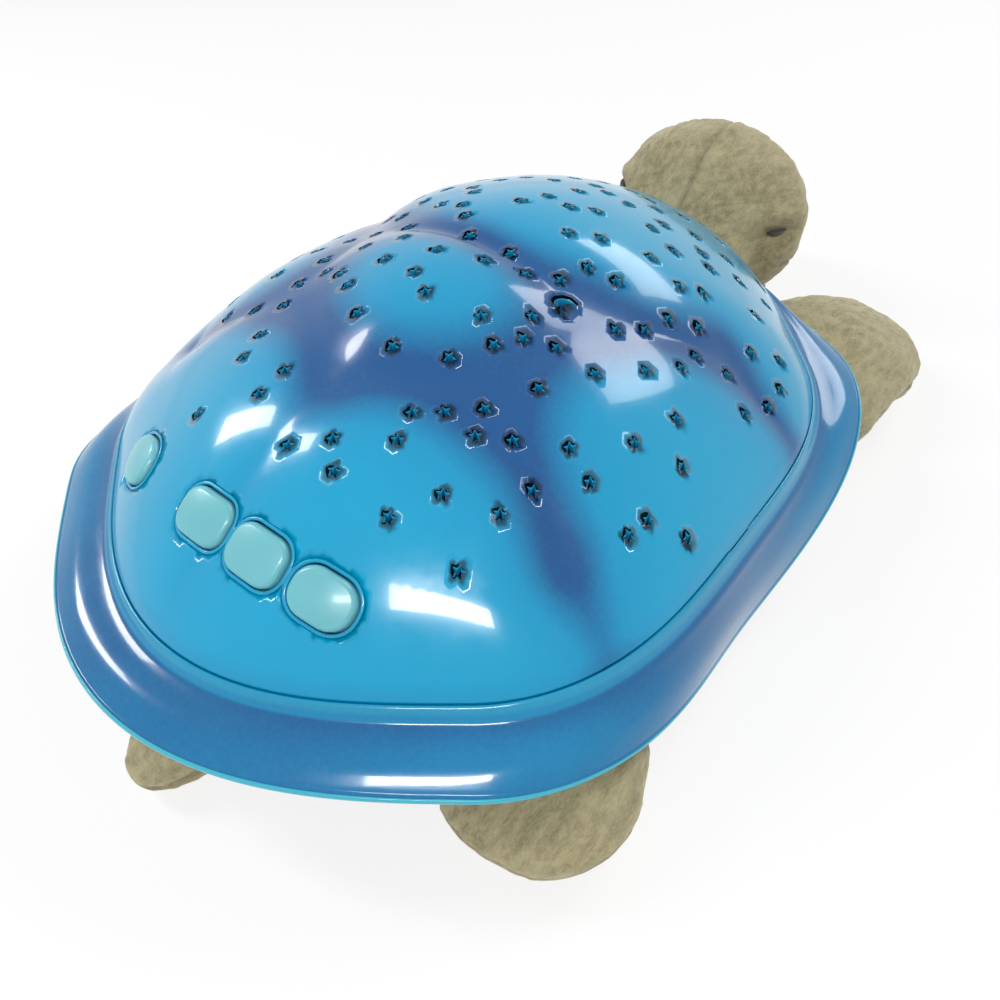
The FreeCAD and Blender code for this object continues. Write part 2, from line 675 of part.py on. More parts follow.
plate_edge = ring_edge(lambda a: (eased(crease_radius, a) - TRAY_INSET, TRAY_Z))
tray_plate = feature("tray_plate", Part.Face(Part.Wire([plate_edge])).extrude(V(0, 0, TRAY_THICK)))
bay_outside = box("bay_outside", f"{BAY_WIDTH} + Sizes.bay_wall * 2", f"{BAY_LENGTH} + Sizes.bay_wall * 2",
                  "Sizes.tray_height - Sizes.door_height", 0, BAY_MIDDLE, "Sizes.door_height")
tray_solid = join("tray_solid", tray_plate, bay_outside)
bay_inside = box("bay_inside", BAY_WIDTH, BAY_LENGTH, f"{CEILING} - Sizes.door_height + 1", 0, BAY_MIDDLE,
                 "Sizes.door_height - 1")
bay_roof = box("bay_roof", f"{BAY_WIDTH} - 12", f"{BAY_LENGTH} - 8", "20", 0, BAY_MIDDLE,
               f"{CEILING} + Sizes.bay_wall")
HINGE_Y = f"(-{CELL_ROOM} / 2 - Sizes.hinge_room + Sizes.hinge_inset)"
HINGE_Z = "(Sizes.door_height + Sizes.hinge_rise)"
pin_holes = cross_rod("pin_holes", "Sizes.hinge_pin_radius + 0.15", f"{BAY_WIDTH} + 2.8", 0, HINGE_Y, HINGE_Z)
tray_cut = cut("tray_cut", tray_solid, bay_inside, bay_roof, pin_holes)
wall_z = "Sizes.door_height + Sizes.door_thickness + 0.4"
wall_tall = f"{CEILING} - Sizes.door_height - Sizes.door_thickness"
inner_walls = [box(f"inner_wall_{end + 1}", BAY_WIDTH, "Sizes.bay_inner_wall", wall_tall, 0,
                   f"{end} * ({CELL_ROOM} + Sizes.bay_inner_wall) / 2", wall_z) for end in (-1, 1)]
DOOR_SCREW_Y = f"({CELL_ROOM} / 2 + Sizes.screw_room / 2 + 0.6)"
screw_post = box("screw_post", "12", "Sizes.screw_room - 1", f"{wall_tall} - 1.6", 0,
                 f"{CELL_ROOM} / 2 + Sizes.screw_room / 2 + 0.5", f"{wall_z} + 1.6")
post_bore = rod("post_bore", "Sizes.screw_radius + 0.9", "8.5", 0, DOOR_SCREW_Y, f"{wall_z} + 1")
BOARD_Z = "(Sizes.tray_height + Sizes.tray_thickness + Sizes.board_post_height)"
FACE_Z = f"({BOARD_Z} + Sizes.board_thickness)"
CORNERS = [(1, 1), (-1, 1), (1, -1), (-1, -1)]
post_x, post_y = "(Sizes.main_board_width / 2 - 4)", "(Sizes.main_board_length / 2 - 4)"
tray_posts, screw_holes = [], []
for k, (sx, sy) in enumerate(CORNERS):
    x, y = f"{sx} * {post_x}", f"{sy} * {post_y}"
    tray_posts.append(rod(f"tray_post_{k}", "Sizes.main_board_post_radius", "Sizes.board_post_height + 1",
                          x, y, "Sizes.tray_height + Sizes.tray_thickness - 1"))
    screw_holes.append(rod(f"post_hole_{k}", "Sizes.main_screw_radius", "Sizes.board_post_height", x, y,
                           f"{BOARD_Z} - Sizes.board_post_height"))
for k, (x, y) in enumerate(boss_points):
    screw_holes.append(rod(f"tray_hole_{k}", "Sizes.screw_radius + 0.3", "Sizes.tray_thickness + 2",
                           f"{x:.3f}", f"{y:.3f}", "Sizes.tray_height - 1"))
tray_full = join("tray_full", tray_cut, *inner_walls, screw_post, *tray_posts)
keep(cut("base_tray", tray_full, post_bore, *screw_holes), "base_tray")

# Battery door with its hinge pins and captive screw
door_plate = box("door_plate", f"{BAY_WIDTH} - Sizes.door_gap * 2",
                 f"{BAY_LENGTH} - Sizes.door_gap - Sizes.hinge_inset", "Sizes.door_thickness", 0,
                 f"{BAY_MIDDLE} + (Sizes.hinge_inset - Sizes.door_gap) / 2", "Sizes.door_height")
door_barrel = cross_rod("door_barrel", "Sizes.hinge_rise", f"{BAY_WIDTH} - Sizes.door_gap * 2", 0,
                        HINGE_Y, HINGE_Z)
door_pins = cross_rod("door_pins", "Sizes.hinge_pin_radius", f"{BAY_WIDTH} + 2.2", 0, HINGE_Y, HINGE_Z)
door_pad = rod("door_pad", "Sizes.door_pad_radius", "Sizes.door_thickness + 1.4", 0, DOOR_SCREW_Y,
               "Sizes.door_height")
door_ribs = [box(f"door_rib_{k}", "1.6", "30", "0.6", f"{k} * (Sizes.cell_radius * 2 + Sizes.cell_gap) / 2",
                 0, "Sizes.door_height + Sizes.door_thickness") for k in (-1, 1)]
door_solid = join("door_solid", door_plate, door_barrel, door_pins, door_pad, *door_ribs)
head_seat = rod("head_seat", "Sizes.screw_head_radius + 0.3", "Sizes.screw_head_thickness + 1", 0,
                DOOR_SCREW_Y, "Sizes.door_height - 1")
door_bore = rod("door_bore", "Sizes.screw_radius + 0.1", "10", 0, DOOR_SCREW_Y, "Sizes.door_height")
keep(cut("battery_door", door_solid, head_seat, door_bore), "battery_door")
screw_head = rod("screw_head", "Sizes.screw_head_radius", "Sizes.screw_head_thickness", 0, DOOR_SCREW_Y,
                 "Sizes.door_height")
screw_shaft = rod("screw_shaft", "Sizes.screw_radius", "8", 0, DOOR_SCREW_Y,
                  "Sizes.door_height + Sizes.screw_head_thickness")
screw_solid = join("screw_solid", screw_head, screw_shaft)
slots = [box("slot_across", "4", "0.8", "1.6", 0, DOOR_SCREW_Y, "Sizes.door_height - 0.8"),
         box("slot_along", "0.8", "4", "1.6", 0, DOOR_SCREW_Y, "Sizes.door_height - 0.8")]
keep(cut("door_screw", screw_solid, *slots), "door_screw")

# Cells side by side, head to tail, with a spring and a contact plate each
for k, place in ((-1, "left"), (0, "centre"), (1, "right")):
    flip = 1 if k == 0 else -1
    x = f"{k} * (Sizes.cell_radius * 2 + Sizes.cell_gap)"
    shift = flip * SPRING_ROOM / 2
    can = doc.addObject("Part::Cylinder", f"can_{place}")
    tip = doc.addObject("Part::Cylinder", f"tip_{place}")
    for rod_part, radius, length in ((can, "Sizes.cell_radius", "Sizes.cell_length - 1.2"),
                                     (tip, "Sizes.cell_radius * 0.5", "Sizes.cell_length")):
        rod_part.Placement = FreeCAD.Placement(V(), FreeCAD.Rotation(V(1, 0, 0), 90 * flip))
        start = f"{flip} * ({CELL_ROOM} / 2 - Sizes.contact_thickness - Sizes.spring_room)"
        bind(rod_part, Radius=radius, Height=length, x=x, y=start, z=CELL_Z)
    keep(join(f"battery_{place}", can, tip), f"battery_{place}")
    plates = []
    for end in (-1, 1):
        plate_y = f"{end} * ({CELL_ROOM} - Sizes.contact_thickness) / 2"
        plates.append(box(f"contact_{place}_{end + 1}", "Sizes.cell_radius * 1.8", "Sizes.contact_thickness",
                          "Sizes.cell_radius * 1.8", x, plate_y, f"{CELL_Z} - Sizes.cell_radius * 0.9"))
    keep(plates[1 if flip < 0 else 0], f"contact_plate_{place}")
    spring = doc.addObject("Part::Cone", f"spring_cone_{place}")
    spring.Placement = FreeCAD.Placement(V(), FreeCAD.Rotation(V(1, 0, 0), 90 * flip))
    bind(spring, Radius1="Sizes.cell_radius * 0.45", Radius2="Sizes.cell_radius * 0.85",
         Height="Sizes.spring_room", x=x, y=f"{flip} * ({CELL_ROOM} / 2 - Sizes.contact_thickness)", z=CELL_Z)
    keep(join(f"battery_spring_{place}", spring, plates[0 if flip < 0 else 1]), f"battery_spring_{place}")

# Main board on the tray posts, with the lamp tower in the middle
main_plate = box("main_plate", "Sizes.main_board_width", "Sizes.main_board_length", "Sizes.board_thickness",
                 0, 0, BOARD_Z)
holes, mains = [], []
for k, (sx, sy) in enumerate(CORNERS):
    x, y = f"{sx} * {post_x}", f"{sy} * {post_y}"
    holes.append(rod(f"board_hole_{k}", "Sizes.main_screw_radius + 0.2", "6", x, y, f"{BOARD_Z} - 1"))
    head = rod(f"main_head_{k}", "Sizes.main_screw_head_radius", "1.5", x, y, FACE_Z)
    shaft = rod(f"main_shaft_{k}", "Sizes.main_screw_radius", "Sizes.board_thickness + 4", x, y,
                f"{BOARD_Z} - 4")
    mains.append(join(f"main_screw_{k}", head, shaft))
keep(cut("main_board", main_plate, *holes), "main_board")
keep(group("main_board_screws", *mains), "main_board_screws")
tower_solid = doc.addObject("Part::Cone", "tower_solid")
bind(tower_solid, Radius1="Sizes.tower_radius + 2", Radius2="Sizes.tower_radius",
     Height="Sizes.tower_height", z=FACE_Z)
tower_bore = rod("tower_bore", "Sizes.tower_radius - 1.8", "Sizes.tower_height - 1.8", 0, 0, FACE_Z)
seats = []
LAMP_Z = f"({FACE_Z} + Sizes.tower_height - 0.6)"
for k, colour in enumerate(("blue", "green", "amber")):
    turn = math.radians(90 + 120 * k)
    x = f"{math.cos(turn):.5f} * Sizes.lamp_circle_radius"
    y = f"{math.sin(turn):.5f} * Sizes.lamp_circle_radius"
    seats.append(rod(f"seat_{colour}", "Sizes.lamp_radius + 0.5", "2", x, y, LAMP_Z))
    ball = doc.addObject("Part::Sphere", f"lamp_tip_{colour}")
    bind(ball, Radius="Sizes.lamp_radius", x=x, y=y, z=f"{LAMP_Z} + Sizes.lamp_height")
    lamp_body = rod(f"lamp_body_{colour}", "Sizes.lamp_radius", "Sizes.lamp_height", x, y, LAMP_Z)
    lamp_foot = rod(f"lamp_foot_{colour}", "Sizes.lamp_radius + 0.4", "1", x, y, LAMP_Z)
    keep(join(f"lamp_{colour}", ball, lamp_body, lamp_foot), f"lamp_{colour}")
keep(cut("lamp_tower", tower_solid, tower_bore, *seats), "lamp_tower")
keep(box("timer_chip", "10", "6", "2.2", -8, "Sizes.main_board_length * 0.33", FACE_Z), "timer_chip")
keep(rod("smoothing_capacitor", "3.2", "9", 9, "-Sizes.main_board_length * 0.33", FACE_Z),
     "smoothing_capacitor")

# Screws up through the tray into the shell's bosses
tray_screws = []
for k, (x, y) in enumerate(boss_points):
    head = rod(f"shell_head_{k}", "Sizes.screw_head_radius", "Sizes.screw_head_thickness",
               f"{x:.3f}", f"{y:.3f}", "Sizes.tray_height - Sizes.screw_head_thickness")
    shaft = rod(f"shell_shaft_{k}", "Sizes.screw_radius", "Sizes.tray_thickness + 9", f"{x:.3f}", f"{y:.3f}",
                "Sizes.tray_height")
    tray_screws.append(join(f"shell_screw_{k}", head, shaft))
keep(group("shell_screws", *tray_screws), "shell_screws")
doc.recompute()


# Stuffed parts
def oval(x, y, z, half_wide, half_tall, heading):
    """An upright oval of eight arcs, square to a level heading (None lies it flat)."""
    if heading is None:
        across, up = V(1, 0, 0), V(0, 1, 0)
    else:
        across, up = V(-heading.y, heading.x, 0), V(0, 0, 1)
    centre = V(x, y, z)
    points = []
    for k in range(16):
        a = math.pi * k / 8
        points.append(centre + across * (half_wide * math.cos(a)) + up * (half_tall * math.sin(a)))
    arcs = [Part.Arc(points[k], points[k + 1], points[(k + 2) % 16]).toShape() for k in range(0, 16, 2)]
    return Part.Wire(arcs)


floor = Part.makeBox(800, 800, 60, V(-400, -400, -60))


def stuffed(start, heading, stations, *larger):
    """A limb lofted through (along, half width, half height, centre height), cut by larger pieces."""
    heading = V(heading[0], heading[1], 0)
    heading.normalize()
    wires = []
    for along, wide, tall, z in stations:
        wires.append(oval(start[0] + heading.x * along, start[1] + heading.y * along, z, wide, tall, heading))
    solid = Part.makeLoft(wires, True).cut(floor)
    for piece in larger:
        solid = solid.cut(piece)
    return max(solid.Solids, key=lambda lump: lump.Volume)


def belly_ring(z, share):
    """A level ring of arcs that follows the crease line, drawn in by a share."""
    points = []
    for k in range(48):
        x, y = plan(7.5 * k, (eased(crease_radius, 7.5 * k) - BODY_INSET) * share)
        points.append(V(x, y, z))
    arcs = [Part.Arc(points[k], points[k + 1], points[(k + 2) % 48]).toShape() for k in range(0, 48, 2)]
    return Part.Wire(arcs)


belly = [(-FOOT_CUT, 0.82), (TRAY_Z * 0.2, 0.95), (TRAY_Z * 0.5, 1.0), (TRAY_Z * 0.85, 0.98), (TRAY_Z, 0.95)]
body = Part.makeLoft([belly_ring(z, share) for z, share in belly], True)
body = body.cut(floor)
BAY_MARGIN = BAY_WALL + SOFT_GAP
window = Part.makeBox(bay_width + 2 * BAY_MARGIN, bay_high - bay_low + 2 * BAY_MARGIN, 60,
                      V(-bay_width / 2 - BAY_MARGIN, bay_low - BAY_MARGIN, -10))
recesses = [Part.makeCylinder(SCREW_HEAD + 1, 4, V(x, y, TRAY_Z - 4)) for x, y in boss_points]
body_shape = body.cut([window] + recesses)
keep(feature("plush_body", body_shape), "plush_body")

room_edge = ring_edge(lambda a: (eased(crease_radius, a) - TRAY_INSET + SOFT_GAP, TRAY_Z))
tray_room = Part.Face(Part.Wire([room_edge])).extrude(V(0, 0, TOP))

head_back = HEAD_AT - HEAD_LONG
low = HEAD_TALL - FOOT_CUT
NECK_AT = 98
NECK_WIDE = 38
head_stations = [(0, NECK_WIDE, 18, 21), (head_back - NECK_AT - 16, NECK_WIDE + 2, 21, 24),
                 (head_back - NECK_AT, NECK_WIDE + 3, 22, 24.5)]
TIP_SHARE = 0.92
for share in (-0.78, -0.45, 0, 0.4, 0.72, TIP_SHARE):
    swell = math.sqrt(1 - share * share)
    head_stations.append((HEAD_AT - NECK_AT + HEAD_LONG * share, HEAD_WIDE * swell, HEAD_TALL * swell,
                          low - 6 * max(0, share)))
head = stuffed((0, -NECK_AT), (0, -1), head_stations, body, tray_room, skirt_space)
keep(feature("plush_head", head), "plush_head")

limb_form = [(0, 0.66, 0.6), (0.3, 0.9, 0.9), (0.62, 1, 1), (0.84, 0.84, 0.86), (0.96, 0.5, 0.5),
             (1, 0.2, 0.2)]


def limb_stations(length, wide, tall):
    return [(s * length, wide * w, tall * h, tall * (1 + (h - 1) * 0.5) - FOOT_CUT) for s, w, h in limb_form]


front = limb_stations(FRONT_LONG + 22, FRONT_WIDE, FRONT_TALL)
rear = limb_stations(REAR_LONG + 18, REAR_WIDE, REAR_TALL)
for side, word in ((-1, "right"), (1, "left")):
    front_limb = stuffed((side * 72, -62), (side * 0.18, -1), front, body, tray_room)
    keep(feature(f"plush_front_flipper_{word}", front_limb), f"plush_front_flipper_{word}")
    rear_limb = stuffed((side * 50, 46), (side * 0.72, 0.70), rear, body)
    keep(feature(f"plush_rear_flipper_{word}", rear_limb), f"plush_rear_flipper_{word}")
tail_form = [(0, 1, 1), (0.4, 0.95, 1), (0.75, 0.62, 0.8), (0.94, 0.32, 0.5), (1, 0.12, 0.2)]
tail = [(s * TAIL_LONG, TAIL_WIDE * w, TAIL_TALL * h, TAIL_TALL * (0.6 * h + 0.4) - FOOT_CUT)
        for s, w, h in tail_form]
TAIL_START = 104
keep(feature("plush_tail", stuffed((0, TAIL_START), (-0.1, 1), tail, body)), "plush_tail")
for side, word in ((-1, "right"), (1, "left")):
    eye = Part.makeSphere(EYE_RADIUS, V(side * 41, -166, 48)).cut(head)
    keep(feature(f"eye_{word}", eye), f"eye_{word}")

doc.recompute()
os.makedirs("parts", exist_ok=True)
for obj in doc.Objects:
    if "Invalid" in obj.State or "Error" in obj.State:
        raise RuntimeError(f"{obj.Name} did not build: {obj.State}")
for obj in nodes:
    if obj.Shape.isNull() or not obj.Shape.isValid():
        raise RuntimeError(f"{obj.Label} is not a valid solid")
    if not obj.Shape.Solids:
        raise RuntimeError(f"{obj.Label} holds no solid")
# The part's origin is on the floor under the middle of its length
head_tip = HEAD_AT + HEAD_LONG * TIP_SHARE
tail_tip = TAIL_START + TAIL_LONG
to_middle = V(0, (head_tip - tail_tip) / 2, 0)
print("moved to the middle of the length by", to_middle.y)
for obj in nodes:
    shape = obj.Shape.copy()
    shape.translate(to_middle)
    shape.exportStep(f"parts/{obj.Label}.step")
    bounds = shape.BoundBox
    print(obj.Label, len(obj.Shape.Solids), round(obj.Shape.Volume), [round(v, 1) for v in (
        bounds.XMin, bounds.XMax, bounds.YMin, bounds.YMax, bounds.ZMin, bounds.ZMax)])
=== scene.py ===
import bpy
import json
import math
import numpy as np
from mathutils import Matrix, Vector
from mathutils.geometry import delaunay_2d_cdt


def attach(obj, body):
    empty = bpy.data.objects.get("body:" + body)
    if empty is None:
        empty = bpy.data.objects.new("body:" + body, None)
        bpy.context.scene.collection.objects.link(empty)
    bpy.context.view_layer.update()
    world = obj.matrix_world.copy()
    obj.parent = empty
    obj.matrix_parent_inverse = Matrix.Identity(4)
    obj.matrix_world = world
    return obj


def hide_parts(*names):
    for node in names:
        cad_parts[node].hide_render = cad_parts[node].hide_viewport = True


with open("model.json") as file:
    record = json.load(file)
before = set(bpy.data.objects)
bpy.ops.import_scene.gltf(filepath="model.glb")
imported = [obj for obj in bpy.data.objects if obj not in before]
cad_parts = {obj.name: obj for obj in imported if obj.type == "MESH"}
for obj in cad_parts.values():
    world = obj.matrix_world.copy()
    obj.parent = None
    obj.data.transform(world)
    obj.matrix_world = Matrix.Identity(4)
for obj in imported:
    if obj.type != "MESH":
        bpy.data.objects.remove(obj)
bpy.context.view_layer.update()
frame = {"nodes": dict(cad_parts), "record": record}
nodes = frame["nodes"]
mm = 0.001
backShift = 33.82  # the shell's centre lies this far behind the part's origin, in mm

# Shell outline in mm round its own centre: direction from the head in degrees, then the value there
shellForm = {
    "rimRadius": [(0, 150), (23, 129), (48, 136.5), (94, 115.5), (142, 140.5), (180, 150)],
    "rimHeight": [(0, 50), (45, 44), (94, 10), (145, 34), (180, 37)],
    "creaseRadius": [(0, 134), (48, 116), (92, 103.5), (142, 120.5), (180, 130)],
    "creaseHeight": [(0, 54), (92, 44), (180, 43)],
    "top": 104.5, "apexForward": 4, "power": 1.8, "blunt": 0.85, "wall": 2.2,
    "grooveDepth": 6, "grooveWidth": 11, "grooveRound": 1.6,
    "ledge": 4.5, "ledgeDrop": 2.4, "directions": 720, "grid": 1.9,
}
backTip, backCorner, frontCorner = (0, 58), (38, 40), (42, 0)
halfGrooves = [(backTip, backCorner, 1), (backCorner, frontCorner, 1), (backCorner, (76, 58), 0.9),
               ((76, 58), (96, 66), 0.6), (frontCorner, (72, -31), 1), ((72, -31), (100, -33), 0.8)]
grooves = [((-42, 0), frontCorner, 1), (backTip, (0, 120), 0.35)]
for start, end, share in halfGrooves:
    grooves.append((start, end, share))
    grooves.append(((-start[0], start[1]), (-end[0], end[1]), share))


def eased(stations, angle):
    angle = np.abs((np.asarray(angle, float) + 180) % 360 - 180)
    value = np.full(angle.shape, float(stations[-1][1]))
    for (a0, v0), (a1, v1) in reversed(list(zip(stations, stations[1:]))):
        turned = v0 + (v1 - v0) * (1 - np.cos(np.pi * (angle - a0) / (a1 - a0))) / 2
        value = np.where(angle <= a1, turned, value)
    return value


def plan(angle, radius):
    turn = np.radians(angle)
    return radius * np.sin(turn), -radius * np.cos(turn)


def awayFrom(x, y, start, end):
    dx, dy = end[0] - start[0], end[1] - start[1]
    along = np.clip(((x - start[0]) * dx + (y - start[1]) * dy) / (dx * dx + dy * dy), 0, 1)
    return np.hypot(x - start[0] - along * dx, y - start[1] - along * dy)


def grooveShare(x, y, width, soft=0.0):
    flat = 1.0
    for start, end, share in grooves:
        away = np.sqrt(awayFrom(x, y, start, end) ** 2 + soft * soft) - soft
        flat = flat * (1 - share * np.exp(-away / width))
    return 1 - flat


def onDome(x, y):
    out = np.hypot(x, y) / 116
    for _ in range(14):
        back = y + shellForm["apexForward"] * np.maximum(0, 1 - out)
        angle = np.degrees(np.arctan2(x, -back))
        out = np.hypot(x, back) / eased(shellForm["creaseRadius"], angle)
    return angle, out


def domeZ(x, y):
    angle, out = onDome(x, y)
    low = eased(shellForm["creaseHeight"], angle)
    inside = np.minimum(out, 1)
    z = low + (shellForm["top"] - low) * (1 - inside ** shellForm["power"]) ** shellForm["blunt"]
    z = z - shellForm["grooveDepth"] * grooveShare(x, y, shellForm["grooveWidth"], shellForm["grooveRound"]) \
        * np.minimum(1, 6 * (1 - inside))
    return np.where(out > 1, z - 0.9 * (out - 1) * eased(shellForm["creaseRadius"], angle), z)


def domeNormal(x, y, step=1.0):
    slopeX = (domeZ(x + step, y) - domeZ(x - step, y)) / (2 * step)
    slopeY = (domeZ(x, y + step) - domeZ(x, y - step)) / (2 * step)
    normal = np.stack([-slopeX, -slopeY, np.ones_like(slopeX)], -1)
    return normal / np.linalg.norm(normal, axis=-1, keepdims=True)


# Value noise over points, the same on every run
def noise3(points, scale, seed=0):
    p = np.asarray(points, float) / scale + seed * 17.31
    cell = np.floor(p).astype(np.int64)
    f = p - cell
    f = f * f * (3 - 2 * f)
    total = np.zeros(len(p))
    for dx in (0, 1):
        for dy in (0, 1):
            for dz in (0, 1):
                h = (cell[:, 0] + dx) * 374761393 + (cell[:, 1] + dy) * 668265263 + (cell[:, 2] + dz) * 2147483647
                h = (h ^ (h >> 13)) * 1274126177
                h = ((h ^ (h >> 16)) & 0xFFFF) / 65535.0 - 0.5
                wx = f[:, 0] if dx else 1 - f[:, 0]
                wy = f[:, 1] if dy else 1 - f[:, 1]
                wz = f[:, 2] if dz else 1 - f[:, 2]
                total += h * wx * wy * wz
    return total


def makeMesh(name, points, faces, smooth=True):
    mesh = bpy.data.meshes.new(name)
    mesh.from_pydata([tuple(p) for p in np.asarray(points) * mm + np.array([0, backShift * mm, 0])], [], faces)
    mesh.update()
    mesh.polygons.foreach_set("use_smooth", [smooth] * len(mesh.polygons))
    piece = bpy.data.objects.new(name, mesh)
    bpy.context.scene.collection.objects.link(piece)
    return piece


def putOn(piece, material, body="root", replaced=()):
    piece.data.materials.clear()
    piece.data.materials.append(material)
    if replaced:
        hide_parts(*replaced)
    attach(piece, body)
    return piece


# Shader helpers
def newTree(name):
    material = bpy.data.materials.new(name)
    material.use_nodes = True
    tree = material.node_tree
    tree.nodes.clear()
    return material, tree


def put(tree, kind, **settings):
    node = tree.nodes.new(kind)
    for key, value in settings.items():
        if hasattr(node, key):
            setattr(node, key, value)
        else:
            node.inputs[key.replace("_", " ")].default_value = value
    return node


def join(tree, source, target):
    tree.links.new(source, target)


def ramp(tree, source, stops):
    node = tree.nodes.new("ShaderNodeValToRGB")
    elements = node.color_ramp.elements
    while len(elements) < len(stops):
        elements.new(0.5)
    for element, (at, colour) in zip(elements, stops):
        element.position = at
        element.color = (*colour, 1) if len(colour) == 3 else colour
    join(tree, source, node.inputs["Fac"])
    return node.outputs["Color"]


def maths(tree, kind, a, b=None):
    node = tree.nodes.new("ShaderNodeMath")
    node.operation = kind
    for k, value in enumerate((a, b)):
        if value is None:
            continue
        if isinstance(value, (int, float)):
            node.inputs[k].default_value = value
        else:
            join(tree, value, node.inputs[k])
    return node.outputs[0]


def mixed(tree, factor, a, b, blend="MIX"):
    node = tree.nodes.new("ShaderNodeMix")
    node.data_type = "RGBA"
    node.blend_type = blend
    for socket, value in ((node.inputs[0], factor), (node.inputs[6], a), (node.inputs[7], b)):
        if isinstance(value, (int, float)):
            socket.default_value = value
        elif isinstance(value, tuple):
            socket.default_value = (*value, 1)
        else:
            join(tree, value, socket)
    return node.outputs[2]


def newGroup(name, inputs, outputs):
    group = bpy.data.node_groups.new(name, "ShaderNodeTree")
    for socket, kind, value in inputs:
        made = group.interface.new_socket(socket, in_out="INPUT", socket_type=kind)
        made.default_value = value
    for socket, kind in outputs:
        group.interface.new_socket(socket, in_out="OUTPUT", socket_type=kind)
    return group, group.nodes.new("NodeGroupInput"), group.nodes.new("NodeGroupOutput")


def useGroup(tree, group, **values):
    node = tree.nodes.new("ShaderNodeGroup")
    node.node_tree = group
    for key, value in values.items():
        socket = node.inputs[key]
        if isinstance(value, (int, float, tuple)):
            socket.default_value = value
        else:
            join(tree, value, socket)
    return node


# Moulded plastic: faint flow marks, fine grain and handling scuffs
plasticGrain, grainIn, grainOut = newGroup(
    "plasticGrain",
    [("Colour", "NodeSocketColor", (0.5, 0.5, 0.5, 1)), ("Grain Size", "NodeSocketFloat", 900.0),
     ("Grain", "NodeSocketFloat", 0.3), ("Variation", "NodeSocketFloat", 0.08), ("Roughness", "NodeSocketFloat", 0.3)],
    [("Colour", "NodeSocketColor"), ("Roughness", "NodeSocketFloat"), ("Height", "NodeSocketFloat")])
place = put(plasticGrain, "ShaderNodeTexCoord").outputs["Object"]
fine = put(plasticGrain, "ShaderNodeTexNoise", Detail=3.0)
join(plasticGrain, place, fine.inputs["Vector"])
join(plasticGrain, grainIn.outputs["Grain Size"], fine.inputs["Scale"])
broad = put(plasticGrain, "ShaderNodeTexNoise", Scale=38.0, Detail=4.0, Roughness=0.6)
join(plasticGrain, place, broad.inputs["Vector"])
scuff = put(plasticGrain, "ShaderNodeTexNoise", Scale=150.0, Detail=6.0, Roughness=0.75)
join(plasticGrain, place, scuff.inputs["Vector"])
shade = maths(plasticGrain, "MULTIPLY", maths(plasticGrain, "SUBTRACT", broad.outputs["Fac"], 0.5),
              grainIn.outputs["Variation"])
toned = put(plasticGrain, "ShaderNodeHueSaturation")
join(plasticGrain, grainIn.outputs["Colour"], toned.inputs["Color"])
join(plasticGrain, maths(plasticGrain, "ADD", maths(plasticGrain, "MULTIPLY", shade, 2.0), 1.0),
     toned.inputs["Value"])
join(plasticGrain, toned.outputs["Color"], grainOut.inputs["Colour"])
worn = maths(plasticGrain, "MULTIPLY", maths(plasticGrain, "SUBTRACT", scuff.outputs["Fac"], 0.45), 0.25)
join(plasticGrain, maths(plasticGrain, "ADD", grainIn.outputs["Roughness"], worn), grainOut.inputs["Roughness"])
join(plasticGrain, maths(plasticGrain, "MULTIPLY", fine.outputs["Fac"], grainIn.outputs["Grain"]),
     grainOut.inputs["Height"])

# Short pile: brushed tufts in two sizes, with painted shade where the pile parts
pileNap, napIn, napOut = newGroup(
    "pileNap",
    [("Colour", "NodeSocketColor", (0.37, 0.33, 0.19, 1)), ("Parting", "NodeSocketColor", (0.17, 0.15, 0.07, 1)),
     ("Tip", "NodeSocketColor", (0.5, 0.46, 0.3, 1)), ("Tuft Size", "NodeSocketFloat", 260.0)],
    [("Colour", "NodeSocketColor"), ("Height", "NodeSocketFloat"), ("Mask", "NodeSocketFloat")])
place = put(pileNap, "ShaderNodeTexCoord").outputs["Object"]
swirl = put(pileNap, "ShaderNodeTexNoise", Scale=26.0, Detail=2.0)
join(pileNap, place, swirl.inputs["Vector"])
bent = put(pileNap, "ShaderNodeVectorMath", operation="MULTIPLY_ADD")
join(pileNap, swirl.outputs["Color"], bent.inputs[0])
bent.inputs[1].default_value = (0.012, 0.012, 0.012)
join(pileNap, place, bent.inputs[2])
stretch = put(pileNap, "ShaderNodeMapping")
stretch.inputs["Scale"].default_value = (1.0, 0.42, 1.0)
join(pileNap, bent.outputs["Vector"], stretch.inputs["Vector"])
tuft = put(pileNap, "ShaderNodeTexNoise", Detail=5.0, Roughness=0.62)
join(pileNap, stretch.outputs["Vector"], tuft.inputs["Vector"])
join(pileNap, napIn.outputs["Tuft Size"], tuft.inputs["Scale"])
fibre = put(pileNap, "ShaderNodeTexNoise", Detail=4.0, Roughness=0.7)
join(pileNap, stretch.outputs["Vector"], fibre.inputs["Vector"])
join(pileNap, maths(pileNap, "MULTIPLY", napIn.outputs["Tuft Size"], 5.0), fibre.inputs["Scale"])
patch = put(pileNap, "ShaderNodeTexNoise", Scale=45.0, Detail=4.0, Roughness=0.55)
join(pileNap, bent.outputs["Vector"], patch.inputs["Vector"])
tuftMask = ramp(pileNap, tuft.outputs["Fac"], [(0.36, (0, 0, 0)), (0.62, (1, 1, 1))])
fibreMask = ramp(pileNap, fibre.outputs["Fac"], [(0.35, (0, 0, 0)), (0.7, (1, 1, 1))])
patchMask = ramp(pileNap, patch.outputs["Fac"], [(0.35, (0, 0, 0)), (0.68, (1, 1, 1))])
# painted shade: the parting colour fills the low gaps between tufts
body = mixed(pileNap, tuftMask, napIn.outputs["Parting"], napIn.outputs["Colour"])
body = mixed(pileNap, maths(pileNap, "MULTIPLY", fibreMask, 0.45), body, napIn.outputs["Tip"])
body = mixed(pileNap, maths(pileNap, "MULTIPLY", patchMask, 0.35), body, napIn.outputs["Tip"])
join(pileNap, body, napOut.inputs["Colour"])
